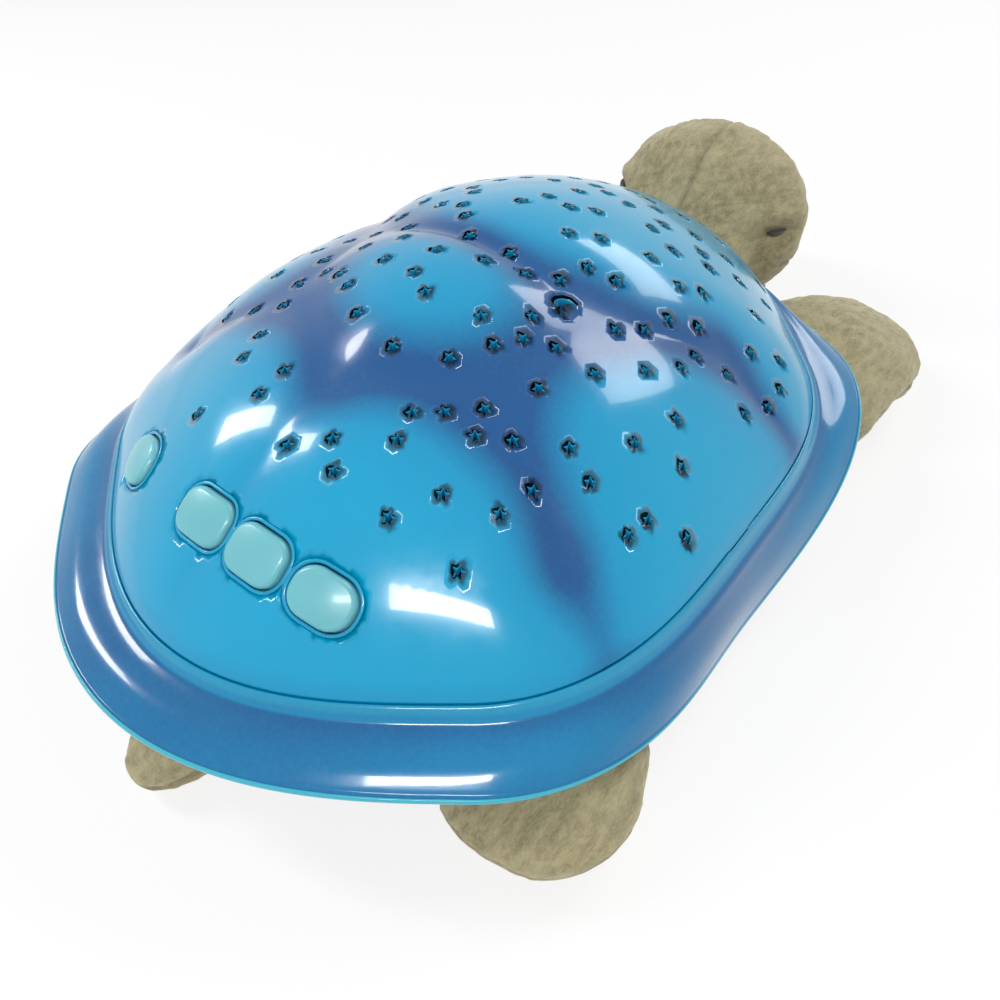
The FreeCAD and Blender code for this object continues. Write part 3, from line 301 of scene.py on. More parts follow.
join(pileNap, maths(pileNap, "ADD", maths(pileNap, "MULTIPLY", tuft.outputs["Fac"], 0.7),
                    maths(pileNap, "MULTIPLY", fibre.outputs["Fac"], 0.3)), napOut.inputs["Height"])
join(pileNap, tuftMask, napOut.inputs["Mask"])

print("shader groups made")

# the pale edge colour is a painted highlight for the bead, the rim roll and the hole and lip edges
shellPaint = {
    "plate": (0.0, 0.28, 0.52), "bright": (0.0, 0.33, 0.57), "deep": (0.0, 0.075, 0.25),
    "edge": (0.05, 0.46, 0.58), "roughness": 0.17, "coat": 0.35, "coatRoughness": 0.05, "specular": 0.28,
}


def shellMaterial():
    material, tree = newTree("shellPlastic")
    out = put(tree, "ShaderNodeOutputMaterial")
    shader = put(tree, "ShaderNodeBsdfPrincipled", Coat_Weight=shellPaint["coat"],
                 Coat_Roughness=shellPaint["coatRoughness"])
    shader.inputs["Specular IOR Level"].default_value = shellPaint["specular"]
    # this attribute holds the airbrushed tone, and painted shade down the star and button hole walls
    paintAndShade = put(tree, "ShaderNodeAttribute", attribute_name="paintAndShade").outputs["Fac"]
    edge = put(tree, "ShaderNodeAttribute", attribute_name="edge").outputs["Fac"]
    place = put(tree, "ShaderNodeTexCoord").outputs["Object"]
    mist = put(tree, "ShaderNodeTexNoise", Scale=900.0, Detail=2.0)
    join(tree, place, mist.inputs["Vector"])
    drift = put(tree, "ShaderNodeTexNoise", Scale=22.0, Detail=3.0)
    join(tree, place, drift.inputs["Vector"])
    sprayedAndShaded = maths(tree, "ADD", paintAndShade, maths(tree, "MULTIPLY", maths(tree, "SUBTRACT", mist.outputs["Fac"], 0.5), 0.16))
    sprayedAndShaded = maths(tree, "ADD", sprayedAndShaded, maths(tree, "MULTIPLY", maths(tree, "SUBTRACT", drift.outputs["Fac"], 0.5), 0.22))
    colour = ramp(tree, sprayedAndShaded, [(0.0, shellPaint["deep"]), (0.55, shellPaint["plate"]), (1.0, shellPaint["bright"])])
    # painted highlight: the pale cyan is mixed in along the bead, the rim roll and the hole and lip edges
    colour = mixed(tree, edge, colour, shellPaint["edge"])
    grain = useGroup(tree, plasticGrain, Colour=colour, **{"Grain Size": 1400.0, "Grain": 0.2, "Variation": 0.05,
                                                           "Roughness": shellPaint["roughness"]})
    join(tree, grain.outputs["Colour"], shader.inputs["Base Color"])
    join(tree, grain.outputs["Roughness"], shader.inputs["Roughness"])
    bump = put(tree, "ShaderNodeBump", Strength=0.05, Distance=0.0002)
    join(tree, grain.outputs["Height"], bump.inputs["Height"])
    join(tree, bump.outputs["Normal"], shader.inputs["Normal"])
    join(tree, shader.outputs["BSDF"], out.inputs["Surface"])
    return material


def plasticMaterial(name, colour, roughness=0.4, grain=0.4, grainSize=1200.0, variation=0.06, coat=0.0, metal=0.0,
                    bumpStrength=0.15, glow=0.0):
    material, tree = newTree(name)
    out = put(tree, "ShaderNodeOutputMaterial")
    shader = put(tree, "ShaderNodeBsdfPrincipled", Coat_Weight=coat, Coat_Roughness=0.12, Metallic=metal,
                 Subsurface_Weight=glow)
    made = useGroup(tree, plasticGrain, Colour=(*colour, 1),
                    **{"Grain Size": grainSize, "Grain": grain, "Variation": variation, "Roughness": roughness})
    join(tree, made.outputs["Colour"], shader.inputs["Base Color"])
    join(tree, made.outputs["Roughness"], shader.inputs["Roughness"])
    bump = put(tree, "ShaderNodeBump", Strength=bumpStrength, Distance=0.0003)
    join(tree, made.outputs["Height"], bump.inputs["Height"])
    join(tree, bump.outputs["Normal"], shader.inputs["Normal"])
    join(tree, shader.outputs["BSDF"], out.inputs["Surface"])
    return material


# the parting colour is painted shade for the gaps between tufts
plushLook = {"colour": (0.345, 0.295, 0.16), "partingShade": (0.16, 0.135, 0.065), "tip": (0.52, 0.47, 0.30),
             "tuftSize": 330.0, "sheen": 0.45}


def plushMaterial():
    material, tree = newTree("plushPile")
    out = put(tree, "ShaderNodeOutputMaterial")
    shader = put(tree, "ShaderNodeBsdfPrincipled", Roughness=0.92, Sheen_Weight=plushLook["sheen"],
                 Sheen_Roughness=0.5)
    shader.inputs["Sheen Tint"].default_value = (0.9, 0.86, 0.7, 1)
    shader.inputs["Specular IOR Level"].default_value = 0.15
    nap = useGroup(tree, pileNap, Colour=(*plushLook["colour"], 1), Parting=(*plushLook["partingShade"], 1),
                   Tip=(*plushLook["tip"], 1), **{"Tuft Size": plushLook["tuftSize"]})
    crease = put(tree, "ShaderNodeAttribute", attribute_name="foldShade").outputs["Fac"]
    # painted shade: a near-black brown mixed in along seams, eye hollows and the mouth crease
    colour = mixed(tree, crease, nap.outputs["Colour"], (0.06, 0.048, 0.022))
    join(tree, colour, shader.inputs["Base Color"])
    bump = put(tree, "ShaderNodeBump", Strength=0.85, Distance=0.0011)
    join(tree, nap.outputs["Height"], bump.inputs["Height"])
    join(tree, bump.outputs["Normal"], shader.inputs["Normal"])
    join(tree, shader.outputs["BSDF"], out.inputs["Surface"])
    return material


shellPlastic = shellMaterial()
plushPile = plushMaterial()
print("shell and plush materials made")

# Shell: dome, skirt, inner faces and openings as one mesh
buttonRow = {"at": (0, 104, 64.2), "tilt": 34.5, "gap": 0.5}
buttonSizes = {"power": (44, 15, 15, 6.3), "left": (5, 17, 13.5, 5), "centre": (-15, 17, 13.5, 5),
               "right": (-35, 17, 13.5, 6)}
rowTilt = math.radians(buttonRow["tilt"])
rowOut = np.array([0, math.sin(rowTilt), math.cos(rowTilt)])
rowDown = np.array([0, math.cos(rowTilt), -math.sin(rowTilt)])
rowAcross = np.array([1.0, 0, 0])


def onRow(u, v, w):
    u, v, w = np.broadcast_arrays(np.asarray(u, float), v, w)
    return (np.array(buttonRow["at"]) + u[..., None] * rowAcross + v[..., None] * rowDown + w[..., None] * rowOut)


def levelOver(u, v):
    w = np.zeros(np.broadcast(np.asarray(u, float), v).shape)
    for _ in range(30):
        p = onRow(u, v, w)
        w = w - (p[..., 2] - domeZ(p[..., 0], p[..., 1])) * rowOut[2]
    return w


def roundedRectangle(width, depth, corner, grow=0.0, steps=9):
    a, b = width / 2 + grow, depth / 2 + grow
    c = min(corner + grow, a * 0.98, b * 0.98)
    points = []
    for k, (su, sv) in enumerate(((1, 1), (-1, 1), (-1, -1), (1, -1))):
        for j in range(steps + 1):
            t = math.pi / 2 * (k + j / steps)
            points.append((su * (a - c) + c * math.cos(t), sv * (b - c) + c * math.sin(t)))
    return np.array(points)


starForm = {"radius": 1.8, "pitch": 12, "share": 0.45, "moonRadius": 3.6, "moonAt": (-36, 3), "bevel": 0.14,
            "margin": 0.93, "bossRadius": 3.6, "bossInset": 20, "bossAngles": (28, 90, 132, -28, -90, -132)}
handStars = [(-38, 80), (-58, 78), (-20, 80), (-4, 81), (31, 85), (-45, 68), (-58, 62), (-28, 65),
             (-70, 40), (-85, 34), (-14, 74), (15, 74), (14, 65), (32, 66), (-26, 57), (35, 57)]
boardPosts = [(24, 5), (24, -14.5), (-25, -14.5)]
bossSpots = [tuple(float(v) for v in plan(a, eased(shellForm["creaseRadius"], a) - starForm["bossInset"]))
             for a in starForm["bossAngles"]]


def spotsOn(pairs):
    spots = []
    for u, v in pairs:
        p = onRow(u, v, levelOver(u, v))
        spots.append((float(p[0]), float(p[1])))
    return spots


buttonSpots = spotsOn([(size[0], 0) for size in buttonSizes.values()])
postSpots = spotsOn(boardPosts)


def clearOf(x, y, spots, gap):
    return all(math.hypot(x - a, y - b) > gap for a, b in spots)


def starFits(x, y, taken, gap):
    r = starForm["radius"]
    return (clearOf(x, y, taken, gap)
            and clearOf(x, y, [starForm["moonAt"]], 2 * r + starForm["moonRadius"])
            and clearOf(x, y, bossSpots, starForm["bossRadius"] + r + 1) and clearOf(x, y, postSpots, 2.6 + r + 1)
            and clearOf(x, y, buttonSpots, 17 * 0.72 + r) and float(onDome(x, y)[1]) < starForm["margin"])


def starPlaces():
    taken = []
    for spot in handStars:
        if starFits(*spot, taken, 3 * starForm["radius"]):
            taken.append(spot)
    pitch, ring = starForm["pitch"], 0
    while ring * pitch < 134:
        radius = (ring + 0.4) * pitch
        count = max(3, round(2 * math.pi * radius / pitch))
        for k in range(count):
            angle = 2 * math.pi * (k + 0.37 * math.sin(7.3 * k + 2.1 * ring)) / count + ring * 1.1
            reach = radius + pitch * 0.3 * math.sin(5.1 * k + ring)
            x, y = reach * math.sin(angle), -18 - reach * math.cos(angle) * 1.15
            if y < 52 and float(onDome(x, y)[1]) < 1 and starFits(x, y, taken, pitch * 0.6):
                taken.append((x, y))
        ring += 1
    return taken


def starOutline(index, x, y, grow=0.0):
    normal = domeNormal(np.array(x), np.array(y), 1.5)
    corners = []
    for k in range(10):
        radius = (starForm["radius"] if k % 2 == 0 else starForm["radius"] * starForm["share"]) + grow
        a = 1.3 * index + math.pi * k / 5
        corners.append((x + radius * math.cos(a) * max(0.75, math.sqrt(1 - normal[0] ** 2)),
                        y + radius * math.sin(a) * max(0.75, math.sqrt(1 - normal[1] ** 2))))
    return np.array(corners)


def moonOutline(grow=0.0):
    cx, cy = starForm["moonAt"]
    r = starForm["moonRadius"]
    corners = []
    for k in range(17):
        a = math.radians(-110 + 220 * k / 16)
        corners.append((cx + (r + grow) * math.cos(a), cy + (r + grow) * math.sin(a)))
    tipX, tipY = r * math.cos(math.radians(110)), (r + grow) * math.sin(math.radians(110))
    for k in range(1, 12):
        a = math.pi * k / 12
        corners.append((cx + tipX + (r * 0.75 - grow) * math.sin(a), cy + tipY * math.cos(a)))
    return np.array(corners)


stars = starPlaces()
print("stars placed:", len(stars))


def skirtProfile(angle):
    # outer face from the crease out to the rim, round its edge and back along the inner face
    cr, cz = eased(shellForm["creaseRadius"], angle), eased(shellForm["creaseHeight"], angle)
    rr, rz = eased(shellForm["rimRadius"], angle), eased(shellForm["rimHeight"], angle)
    run = np.hypot(rr - cr, rz - cz)
    share = shellForm["ledge"] / run
    lr, lz = cr + shellForm["ledge"], cz + (rz - cz) * share - shellForm["ledgeDrop"] * (1 - share)
    ax, az = rr - lr, rz - lz
    length = np.hypot(ax, az)
    ax, az = ax / length, az / length
    nx, nz = -az, ax
    flip = np.where(nz < 0, -1, 1)
    nx, nz = nx * flip, nz * flip
    rings, highlightShares = [], []
    # the dome rolls over a small bead into the ledge's hollow
    for t, lift in ((0.12, 0.25), (0.24, 0.28), (0.38, 0.1), (0.52, -0.16), (0.68, -0.3), (0.84, -0.24), (1.0, 0.0)):
        rings.append((cr + (lr - cr) * t + lift * 0.2, cz + (lz - cz) * t + lift * 1.6))
        # the bead below the crease is marked for a painted highlight
        highlightShares.append(0.22 if 0.1 < t < 0.4 else 0.0)
    for k in range(1, 15):
        t = k / 15
        swell = 1.1 * math.sin(math.pi * t) ** 2 - 0.35 * math.exp(-((t - 0.93) / 0.05) ** 2)
        rings.append((lr + (rr - lr) * t + nx * swell, lz + (rz - lz) * t + nz * swell))
        highlightShares.append(0.0)
    wall = shellForm["wall"]
    for k in range(0, 9):
        a = math.pi * k / 8
        side, reach = (wall / 2) * (math.cos(a) - 1), (wall / 2) * math.sin(a)
        rings.append((rr + nx * side + ax * (reach - wall / 2), rz + nz * side + az * (reach - wall / 2)))
        # the rolled rim is marked for a strong painted highlight, weaker on its inner side
        highlightShares.append(0.85 if k < 6 else 0.3)
    for t in (0.8, 0.5, 0.2, 0.0):
        rings.append((lr + (rr - lr) * t - nx * wall, lz + (rz - lz) * t - nz * wall))
        highlightShares.append(-1.0)
    return rings, highlightShares


def buildShell():
    points, faces, paintAndShade, edge, kinds = [], [], [], [], []
    count = shellForm["directions"]
    angles = np.arange(count) * 360 / count
    cr = eased(shellForm["creaseRadius"], angles)
    rimX, rimY = plan(angles, cr)
    rim = np.stack([rimX, rimY], 1)
    outlines = [starOutline(k, x, y, starForm["bevel"]) for k, (x, y) in enumerate(stars)]
    cores = [starOutline(k, x, y) for k, (x, y) in enumerate(stars)]
    outlines.append(moonOutline(starForm["bevel"]))
    cores.append(moonOutline())
    buttonLoops = []
    for u, width, depth, corner in buttonSizes.values():
        loops = []
        for grow in (buttonRow["gap"] + 1.1, buttonRow["gap"] + 0.7, buttonRow["gap"] + 0.3, buttonRow["gap"]):
            shape = roundedRectangle(width, depth, corner, grow)
            w = levelOver(u + shape[:, 0], shape[:, 1])
            loops.append(onRow(u + shape[:, 0], shape[:, 1], w))
        buttonLoops.append(loops)
    holes = outlines + [loops[0][:, :2] for loops in buttonLoops]
    pitch = shellForm["grid"]
    gx, gy = np.meshgrid(np.arange(-124, 124, pitch), np.arange(-140, 140, pitch * 0.866))
    gx = gx + (np.arange(gx.shape[0]) % 2)[:, None] * pitch / 2
    gx, gy = gx.ravel(), gy.ravel()
    angle = np.degrees(np.arctan2(gx, -gy))
    keepIt = np.hypot(gx, gy) < eased(shellForm["creaseRadius"], angle) - 5.6
    for hole in holes:
        centre, reach = hole.mean(0), np.hypot(*(hole - hole.mean(0)).T).max() + pitch * 0.5
        near = np.hypot(gx - centre[0], gy - centre[1]) < reach
        if len(hole) > 20 and reach > 8:
            size = np.abs(hole - centre).max(0) + pitch * 0.5
            near = (np.abs(gx - centre[0]) < size[0]) & (np.abs(gy - centre[1]) < size[1])
            polygon = hole
            insideHole = np.zeros(len(gx), bool)
            for (ax, ay), (bx, by) in zip(polygon, np.roll(polygon, -1, 0)):
                crosses = ((ay > gy) != (by > gy)) & (gx < (bx - ax) * (gy - ay) / (by - ay + 1e-12) + ax)
                insideHole ^= crosses
            closeBy = np.zeros(len(gx), bool)
            for px, py in polygon:
                closeBy |= np.hypot(gx - px, gy - py) < pitch * 0.5
            near = near & (insideHole | closeBy)
        keepIt &= ~near
    inner = [np.stack([gx[keepIt], gy[keepIt]], 1)]
    for inset in (0.4, 1.0, 1.9, 3.0, 4.3):
        ringX, ringY = plan(angles, cr - inset)
        far = np.ones(count, bool)
        for hole in holes:
            middle = hole.mean(0)
            reach = np.hypot(*(hole - middle).T).max() + 1.0
            far &= np.hypot(ringX - middle[0], ringY - middle[1]) > reach
        inner.append(np.stack([ringX[far], ringY[far]], 1))
    inner = np.concatenate(inner)
    allPoints = [rim] + holes + [inner]
    edges, start = [], 0
    for loop in [rim] + holes:
        n = len(loop)
        edges += [(start + k, start + (k + 1) % n) for k in range(n)]
        start += n
    flat = np.concatenate(allPoints)
    made = delaunay_2d_cdt([Vector(p) for p in flat], edges, [], 0, 1e-6, True)
    verts = np.array([tuple(v) for v in made[0]])
    triangles = np.array([f for f in made[2] if len(f) == 3])
    sources = made[3]
    newIndex = {}
    for k, origin in enumerate(sources):
        for o in origin:
            newIndex[o] = k
    centres = verts[triangles].mean(1)
    keepFace = np.hypot(centres[:, 0], centres[:, 1]) < eased(
        shellForm["creaseRadius"], np.degrees(np.arctan2(centres[:, 0], -centres[:, 1]))) + 0.01
    for hole in holes:
        near = np.where((np.abs(centres - hole.mean(0)) < np.abs(hole - hole.mean(0)).max(0) + 1).all(1))[0]
        c = centres[near]
        inHole = np.zeros(len(c), bool)
        for (ax, ay), (bx, by) in zip(hole, np.roll(hole, -1, 0)):
            inHole ^= ((ay > c[:, 1]) != (by > c[:, 1])) & (c[:, 0] < (bx - ax) * (c[:, 1] - ay) / (by - ay + 1e-12) + ax)
        keepFace[near[inHole]] = False
    triangles = triangles[keepFace]
    # every triangle faces up
    a, b, c = (verts[triangles[:, k]] for k in range(3))
    turned = (b[:, 0] - a[:, 0]) * (c[:, 1] - a[:, 1]) - (b[:, 1] - a[:, 1]) * (c[:, 0] - a[:, 0]) < 0
    triangles[turned] = triangles[turned][:, ::-1]
    x, y = verts[:, 0], verts[:, 1]
    z = domeZ(x, y)
    normal = domeNormal(x, y)
    share = grooveShare(x, y, 11.0, 2.5)
    _, out = onDome(x, y)
    front = np.clip((-y - 20) / 100, 0, 1) * 0.25
    tone = np.clip(1.08 - 1.3 * share ** 1.4 - front, 0, 1) * np.clip((1.04 - out) / 0.07, 0.5, 1)
    points = [np.stack([x, y, z], 1)]
    paintAndShade, edge = [tone], [np.zeros(len(x))]
    faces = [tuple(t) for t in triangles]
    kinds = [0] * len(faces)
    total = len(x)
    topNormal = [normal]
    # inner face, a wall's thickness below
    drop = shellForm["wall"] / np.maximum(0.5, normal[:, 2])
    points.append(np.stack([x, y, z - drop], 1))
    paintAndShade.append(np.full(len(x), 0.25))
    edge.append(np.zeros(len(x)))
    topNormal.append(-normal)
    faces += [tuple(t[::-1] + total) for t in triangles]
    kinds += [1] * len(triangles)
    innerStart = total
    total *= 2

    def addRing(ring, tone, highlightShare, along=None):
        nonlocal total
        points.append(np.asarray(ring))
        paintAndShade.append(np.full(len(ring), tone) if np.isscalar(tone) else tone)
        edge.append(np.full(len(ring), highlightShare))
        topNormal.append(np.zeros((len(ring), 3)) if along is None else along)
        total += len(ring)
        return np.arange(total - len(ring), total)

    def bridge(one, two, kind):
        n = len(one)
        for k in range(n):
            j = (k + 1) % n
            faces.append((one[k], one[j], two[j], two[k]))
            kinds.append(kind)

    # skirt
    crease = np.array([newIndex[k] for k in range(count)])
    rings, highlightShares = skirtProfile(angles)
    previous = crease
    for step, ((r, zz), highlightShare) in enumerate(zip(rings, highlightShares)):
        px, py = plan(angles, r)
        back = np.abs((angles + 180) % 360 - 180)
        wave = 0.5 + 0.5 * np.cos(np.radians(back) * 5.0 + 0.6)
        t = np.clip((step - 6) / 15, 0, 1)
        tone = np.clip(0.10 + 0.16 * wave * math.sin(math.pi * t) + 0.10 * t, 0, 1) if step > 4 else np.full(count, 0.42)
        if highlightShare < 0:
            tone = np.full(count, 0.1)
        ring = addRing(np.stack([px, py, zz], 1), tone, max(0.0, highlightShare))
        bridge(previous, ring, 2)
        previous = ring
    bridge(previous, crease + innerStart, 2)
    # bevels and walls of the star holes and the crescent
    start = count
    for outline, core in zip(outlines, cores):
        n = len(outline)
        loop = np.array([newIndex[start + k] for k in range(n)])
        start += n
        coreZ = domeZ(core[:, 0], core[:, 1])
        # the bevel ring round each hole is marked for a painted highlight
        step = addRing(np.column_stack([core, coreZ - starForm["bevel"]]), 0.7, 0.18)
        bridge(loop[::-1], step[::-1], 3)
        floorZ = coreZ - shellForm["wall"] / np.maximum(0.5, domeNormal(core[:, 0], core[:, 1])[:, 2])
        # the wall darkens towards its foot: painted shade inside the hole
        low = addRing(np.column_stack([core, floorZ]), 0.05, 0.0)
        bridge(step[::-1], low[::-1], 3)
        bridge(low[::-1], (loop + innerStart)[::-1], 3)
    # rolled lips round the button openings
    for loops, (u, width, depth, corner) in zip(buttonLoops, buttonSizes.values()):
        n = len(loops[0])
        loop = np.array([newIndex[start + k] for k in range(n)])
        start += n
        previous = loop
        for ring3, lift in ((loops[1], 0.2), (loops[2], 0.24), (loops[3], 0.04)):
            # the lip rings are marked for a painted highlight
            ring = addRing(ring3 + rowOut * lift, 0.62, 0.12)
            bridge(previous[::-1], ring[::-1], 4)
            previous = ring
        # the opening's wall darkens towards its foot: painted shade
        low = addRing(loops[3] - rowOut * shellForm["wall"] * 1.25, 0.02, 0.0)
        bridge(previous[::-1], low[::-1], 3)
        bridge(low[::-1], (loop + innerStart)[::-1], 3)
    allPoints = np.concatenate(points)
    piece = makeMesh("shell_moulding", allPoints, [tuple(int(v) for v in f) for f in faces])
    mesh = piece.data
    # the second attribute holds the painted highlight share
    mesh.attributes.new("paintAndShade", "FLOAT", "POINT").data.foreach_set("value", np.concatenate(paintAndShade).astype(np.float32))
    mesh.attributes.new("edge", "FLOAT", "POINT").data.foreach_set("value", np.concatenate(edge).astype(np.float32))
    kinds = np.array(kinds)
    loopVert = np.empty(len(mesh.loops), np.int32)
    mesh.loops.foreach_get("vertex_index", loopVert)
    loopKind = np.repeat(kinds, [p.loop_total for p in mesh.polygons])
    normals = np.concatenate(topNormal)[loopVert]
    flatNormal = np.empty(len(mesh.polygons) * 3)
    mesh.polygons.foreach_get("normal", flatNormal)
    flatNormal = np.repeat(flatNormal.reshape(-1, 3), [p.loop_total for p in mesh.polygons], axis=0)
    normals[loopKind == 3] = flatNormal[loopKind == 3]
    normals[(loopKind == 2) | (loopKind == 4)] = 0
    vertexNormal = np.empty(len(mesh.vertices) * 3)
    mesh.vertices.foreach_get("normal", vertexNormal)
    vertexNormal = vertexNormal.reshape(-1, 3)[loopVert]
    softOnes = (loopKind == 2) | (loopKind == 4)
    normals[softOnes] = vertexNormal[softOnes]
    mesh.normals_split_custom_set([tuple(n) for n in normals])
    return piece


shell = buildShell()
print("shell mesh made:", len(shell.data.vertices), "points")
putOn(shell, shellPlastic, "root", ["star_shell"])

# Finishes of the pieces that keep their CAD form
nodeLooks = {
    "button_plastic": dict(colour=(0.135, 0.45, 0.51), roughness=0.34, grain=0.3, grainSize=700.0, variation=0.10,
                           coat=0.25, glow=0.12),
    "tray_plastic": dict(colour=(0.60, 0.61, 0.585), roughness=0.5, grain=0.8, grainSize=1700.0, variation=0.05),
    "screw_steel": dict(colour=(0.55, 0.55, 0.56), roughness=0.32, metal=1.0, grainSize=2400.0, variation=0.12),
    "contact_steel": dict(colour=(0.66, 0.66, 0.63), roughness=0.28, metal=1.0, grainSize=1900.0, variation=0.12),
    "board_laminate": dict(colour=(0.03, 0.19, 0.085), roughness=0.38, grainSize=1500.0, variation=0.15, coat=0.3),
    "switch_plastic": dict(colour=(0.028, 0.028, 0.03), roughness=0.45, grain=0.6, variation=0.10),
    "plunger_plastic": dict(colour=(0.60, 0.55, 0.47), roughness=0.42, variation=0.05),
    "cell_jacket": dict(colour=(0.035, 0.045, 0.055), roughness=0.3, variation=0.08, coat=0.4),
    "lamp_blue_lens": dict(colour=(0.05, 0.16, 0.75), roughness=0.12, variation=0.05, coat=0.8),
    "lamp_green_lens": dict(colour=(0.04, 0.52, 0.10), roughness=0.12, variation=0.05, coat=0.8),
    "lamp_amber_lens": dict(colour=(0.80, 0.36, 0.03), roughness=0.12, variation=0.05, coat=0.8),
}
slotOf = {sub["node"]: sub["material_slot"] for sub in frame["record"]["subparts"]}
nodeMaterials = {name: plasticMaterial(name, **look) for name, look in nodeLooks.items()}
for name, piece in nodes.items():
    if slotOf.get(name) in nodeMaterials:
        piece.data.materials.clear()
        piece.data.materials.append(nodeMaterials[slotOf[name]])
print("CAD nodes dressed")


# Stuffed pieces: rings lofted along a heading, pressed flat on the floor, then brushed
def softLimb(name, start, heading, stations, rounds=140, steps=150, seam=None, seed=1, shaper=None, roundFrom=None):
    heading = np.array(heading, float) / np.hypot(*heading)
    across = np.array([-heading[1], heading[0]])
    keys = np.array(stations, float)
    s = np.sin(np.linspace(0, np.pi / 2, steps)) if roundFrom else np.linspace(0, 1, steps)
    alongKeys = (keys[:, 0] - keys[0, 0]) / (keys[-1, 0] - keys[0, 0])
    along = np.interp(s, alongKeys, keys[:, 0])

    # smooth the straight runs between stations
    def smoothed(column):
        value = np.interp(s, alongKeys, keys[:, column])
        kernel = np.hanning(steps // 8 * 2 + 1)
        kernel /= kernel.sum()
        padded = np.pad(value, steps // 8, mode="edge")
        return np.convolve(padded, kernel, mode="valid")

    wide, tall, level = smoothed(1), smoothed(2), smoothed(3)
    # the tip closes as a half round
    tip = np.clip((along[-1] - along) / max(6.0, keys[:, 2].max() * 1.3), 0, 1)
    if roundFrom:
        tip = np.clip((1 - s) / (1 - roundFrom), 0, 1)
    close = np.sqrt(1 - (1 - tip) ** 2)
    close[-1] = 0.0
    fullTall = tall
    wide, tall = wide * np.maximum(close, 0.001), tall * np.maximum(close ** 0.8, 0.001)
    a = np.linspace(0, 2 * np.pi, rounds, endpoint=False)
    ca, sa = np.cos(a), np.sin(a)
    side = np.sign(ca) * np.abs(ca) ** 0.92
    rise = np.sign(sa) * np.abs(sa) ** 0.92
    X = start[0] + heading[0] * along[:, None] + across[0] * wide[:, None] * side[None]
    Y = start[1] + heading[1] * along[:, None] + across[1] * wide[:, None] * side[None]
    Z = level[:, None] + tall[:, None] * rise[None]
    p = np.stack([X, Y, Z], -1).reshape(-1, 3)
    t = np.repeat(s, rounds)
    turn = np.tile(a, steps)
    foldShade = np.zeros(len(p))
    if seam:
        # a sewn edge round the limb's side pulls the pile in, and its crease gets painted shade
        away = np.abs(np.sin(turn)) * np.repeat(fullTall, rounds)
        dip = np.exp(-(away / seam["width"]) ** 2)
        inwardX = -np.sign(np.cos(turn)) * across[0]
        inwardY = -np.sign(np.cos(turn)) * across[1]
        p[:, 0] += inwardX * dip * seam["depth"]
        p[:, 1] += inwardY * dip * seam["depth"]
        foldShade += dip * seam["shade"]
    if shaper is not None:
        foldShade += shaper(p, t, turn)
    # slack stuffing and brushed pile
    centre = np.stack([start[0] + heading[0] * along, start[1] + heading[1] * along, level], 1)
    away = p - np.repeat(centre, rounds, 0)
    away /= np.linalg.norm(away, axis=1, keepdims=True) + 1e-9
    lump = noise3(p, 22.0, seed) * 2.6 + noise3(p, 9.0, seed + 1) * 1.1
    nap = noise3(p, 1.7, seed + 2) * 0.5 + noise3(p * [1, 0.3, 0.6], 2.6, seed + 3) * 1.0
    p += away * (lump + nap)[:, None]
    # the underside rests on the floor
    z = p[:, 2]
    soft = 3.0
    p[:, 2] = np.where(z < soft, soft * np.exp(np.clip((z - soft) / soft, -12, 0)), z)
    faces = []
    for i in range(steps - 1):
        for j in range(rounds):
            k = (j + 1) % rounds
            faces.append((i * rounds + j, i * rounds + k, (i + 1) * rounds + k, (i + 1) * rounds + j))
    faces.append(tuple(range(rounds - 1, -1, -1)))
    piece = makeMesh(name, p, faces)
    piece.data.attributes.new("foldShade", "FLOAT", "POINT").data.foreach_set(
        "value", np.clip(foldShade, 0, 1).astype(np.float32))
    return piece


frontForm = [(0, 0.9, 0.6), (0.25, 1.05, 0.9), (0.6, 1, 1), (1, 0.95, 0.8)]
rearForm = [(0, 0.75, 0.7), (0.3, 0.84, 0.95), (0.62, 1, 1), (1, 1, 0.9)]
frontFlipper = {"length": 114, "wide": 35, "tall": 19}
rearFlipper = {"length": 84, "wide": 29, "tall": 12.5}
tailForm = {"length": 52, "wide": 17, "tall": 9}
headForm = {"at": 185, "wide": 49, "long": 42, "tall": 41.5, "neck": 98}
sewnEdge = {"width": 1.5, "depth": 1.2, "shade": 0.4}


def limbStations(form, shares):
    return [(s * form["length"], form["wide"] * w, form["tall"] * h, form["tall"] * (1 + (h - 1) * 0.5) - 0.5)
            for s, w, h in shares]


for side, word in ((-1, "right"), (1, "left")):
    piece = softLimb(f"front_flipper_{word}", (side * 72, -62), (side * 0.18, -1), limbStations(frontFlipper, frontForm),
                     seam=sewnEdge, seed=3 + side, roundFrom=0.66, rounds=200, steps=200)
    putOn(piece, plushPile, "root", [f"plush_front_flipper_{word}"])
    piece = softLimb(f"rear_flipper_{word}", (side * 50, 46), (side * 0.72, 0.70), limbStations(rearFlipper, rearForm),
                     seam=sewnEdge, seed=9 + side, roundFrom=0.64, rounds=200, steps=200)
    putOn(piece, plushPile, "root", [f"plush_rear_flipper_{word}"])
piece = softLimb("tail", (0, 104), (-0.1, 1),
                 limbStations(tailForm, [(0, 1, 1), (0.5, 0.9, 1), (1, 0.75, 0.85)]),
                 seam=sewnEdge, seed=17, roundFrom=0.6, rounds=120, steps=110)
putOn(piece, plushPile, "root", ["plush_tail"])
print("flippers and tail made")

headStations = [(0, 38, 18, 21), (29, 40, 21, 24), (45, 41, 22, 24.5)]
for share in (-0.78, -0.45, 0, 0.4, 0.72, 0.92):
    swell = math.sqrt(1 - share * share)
    headStations.append((headForm["at"] - headForm["neck"] + headForm["long"] * share, headForm["wide"] * swell,
                         headForm["tall"] * swell, 41 - 6 * max(0, share)))


eyeForm = {"x": 40.2, "y": -164, "z": 48, "long": 5.2, "tall": 1.25, "deep": 1.6, "turn": 34}


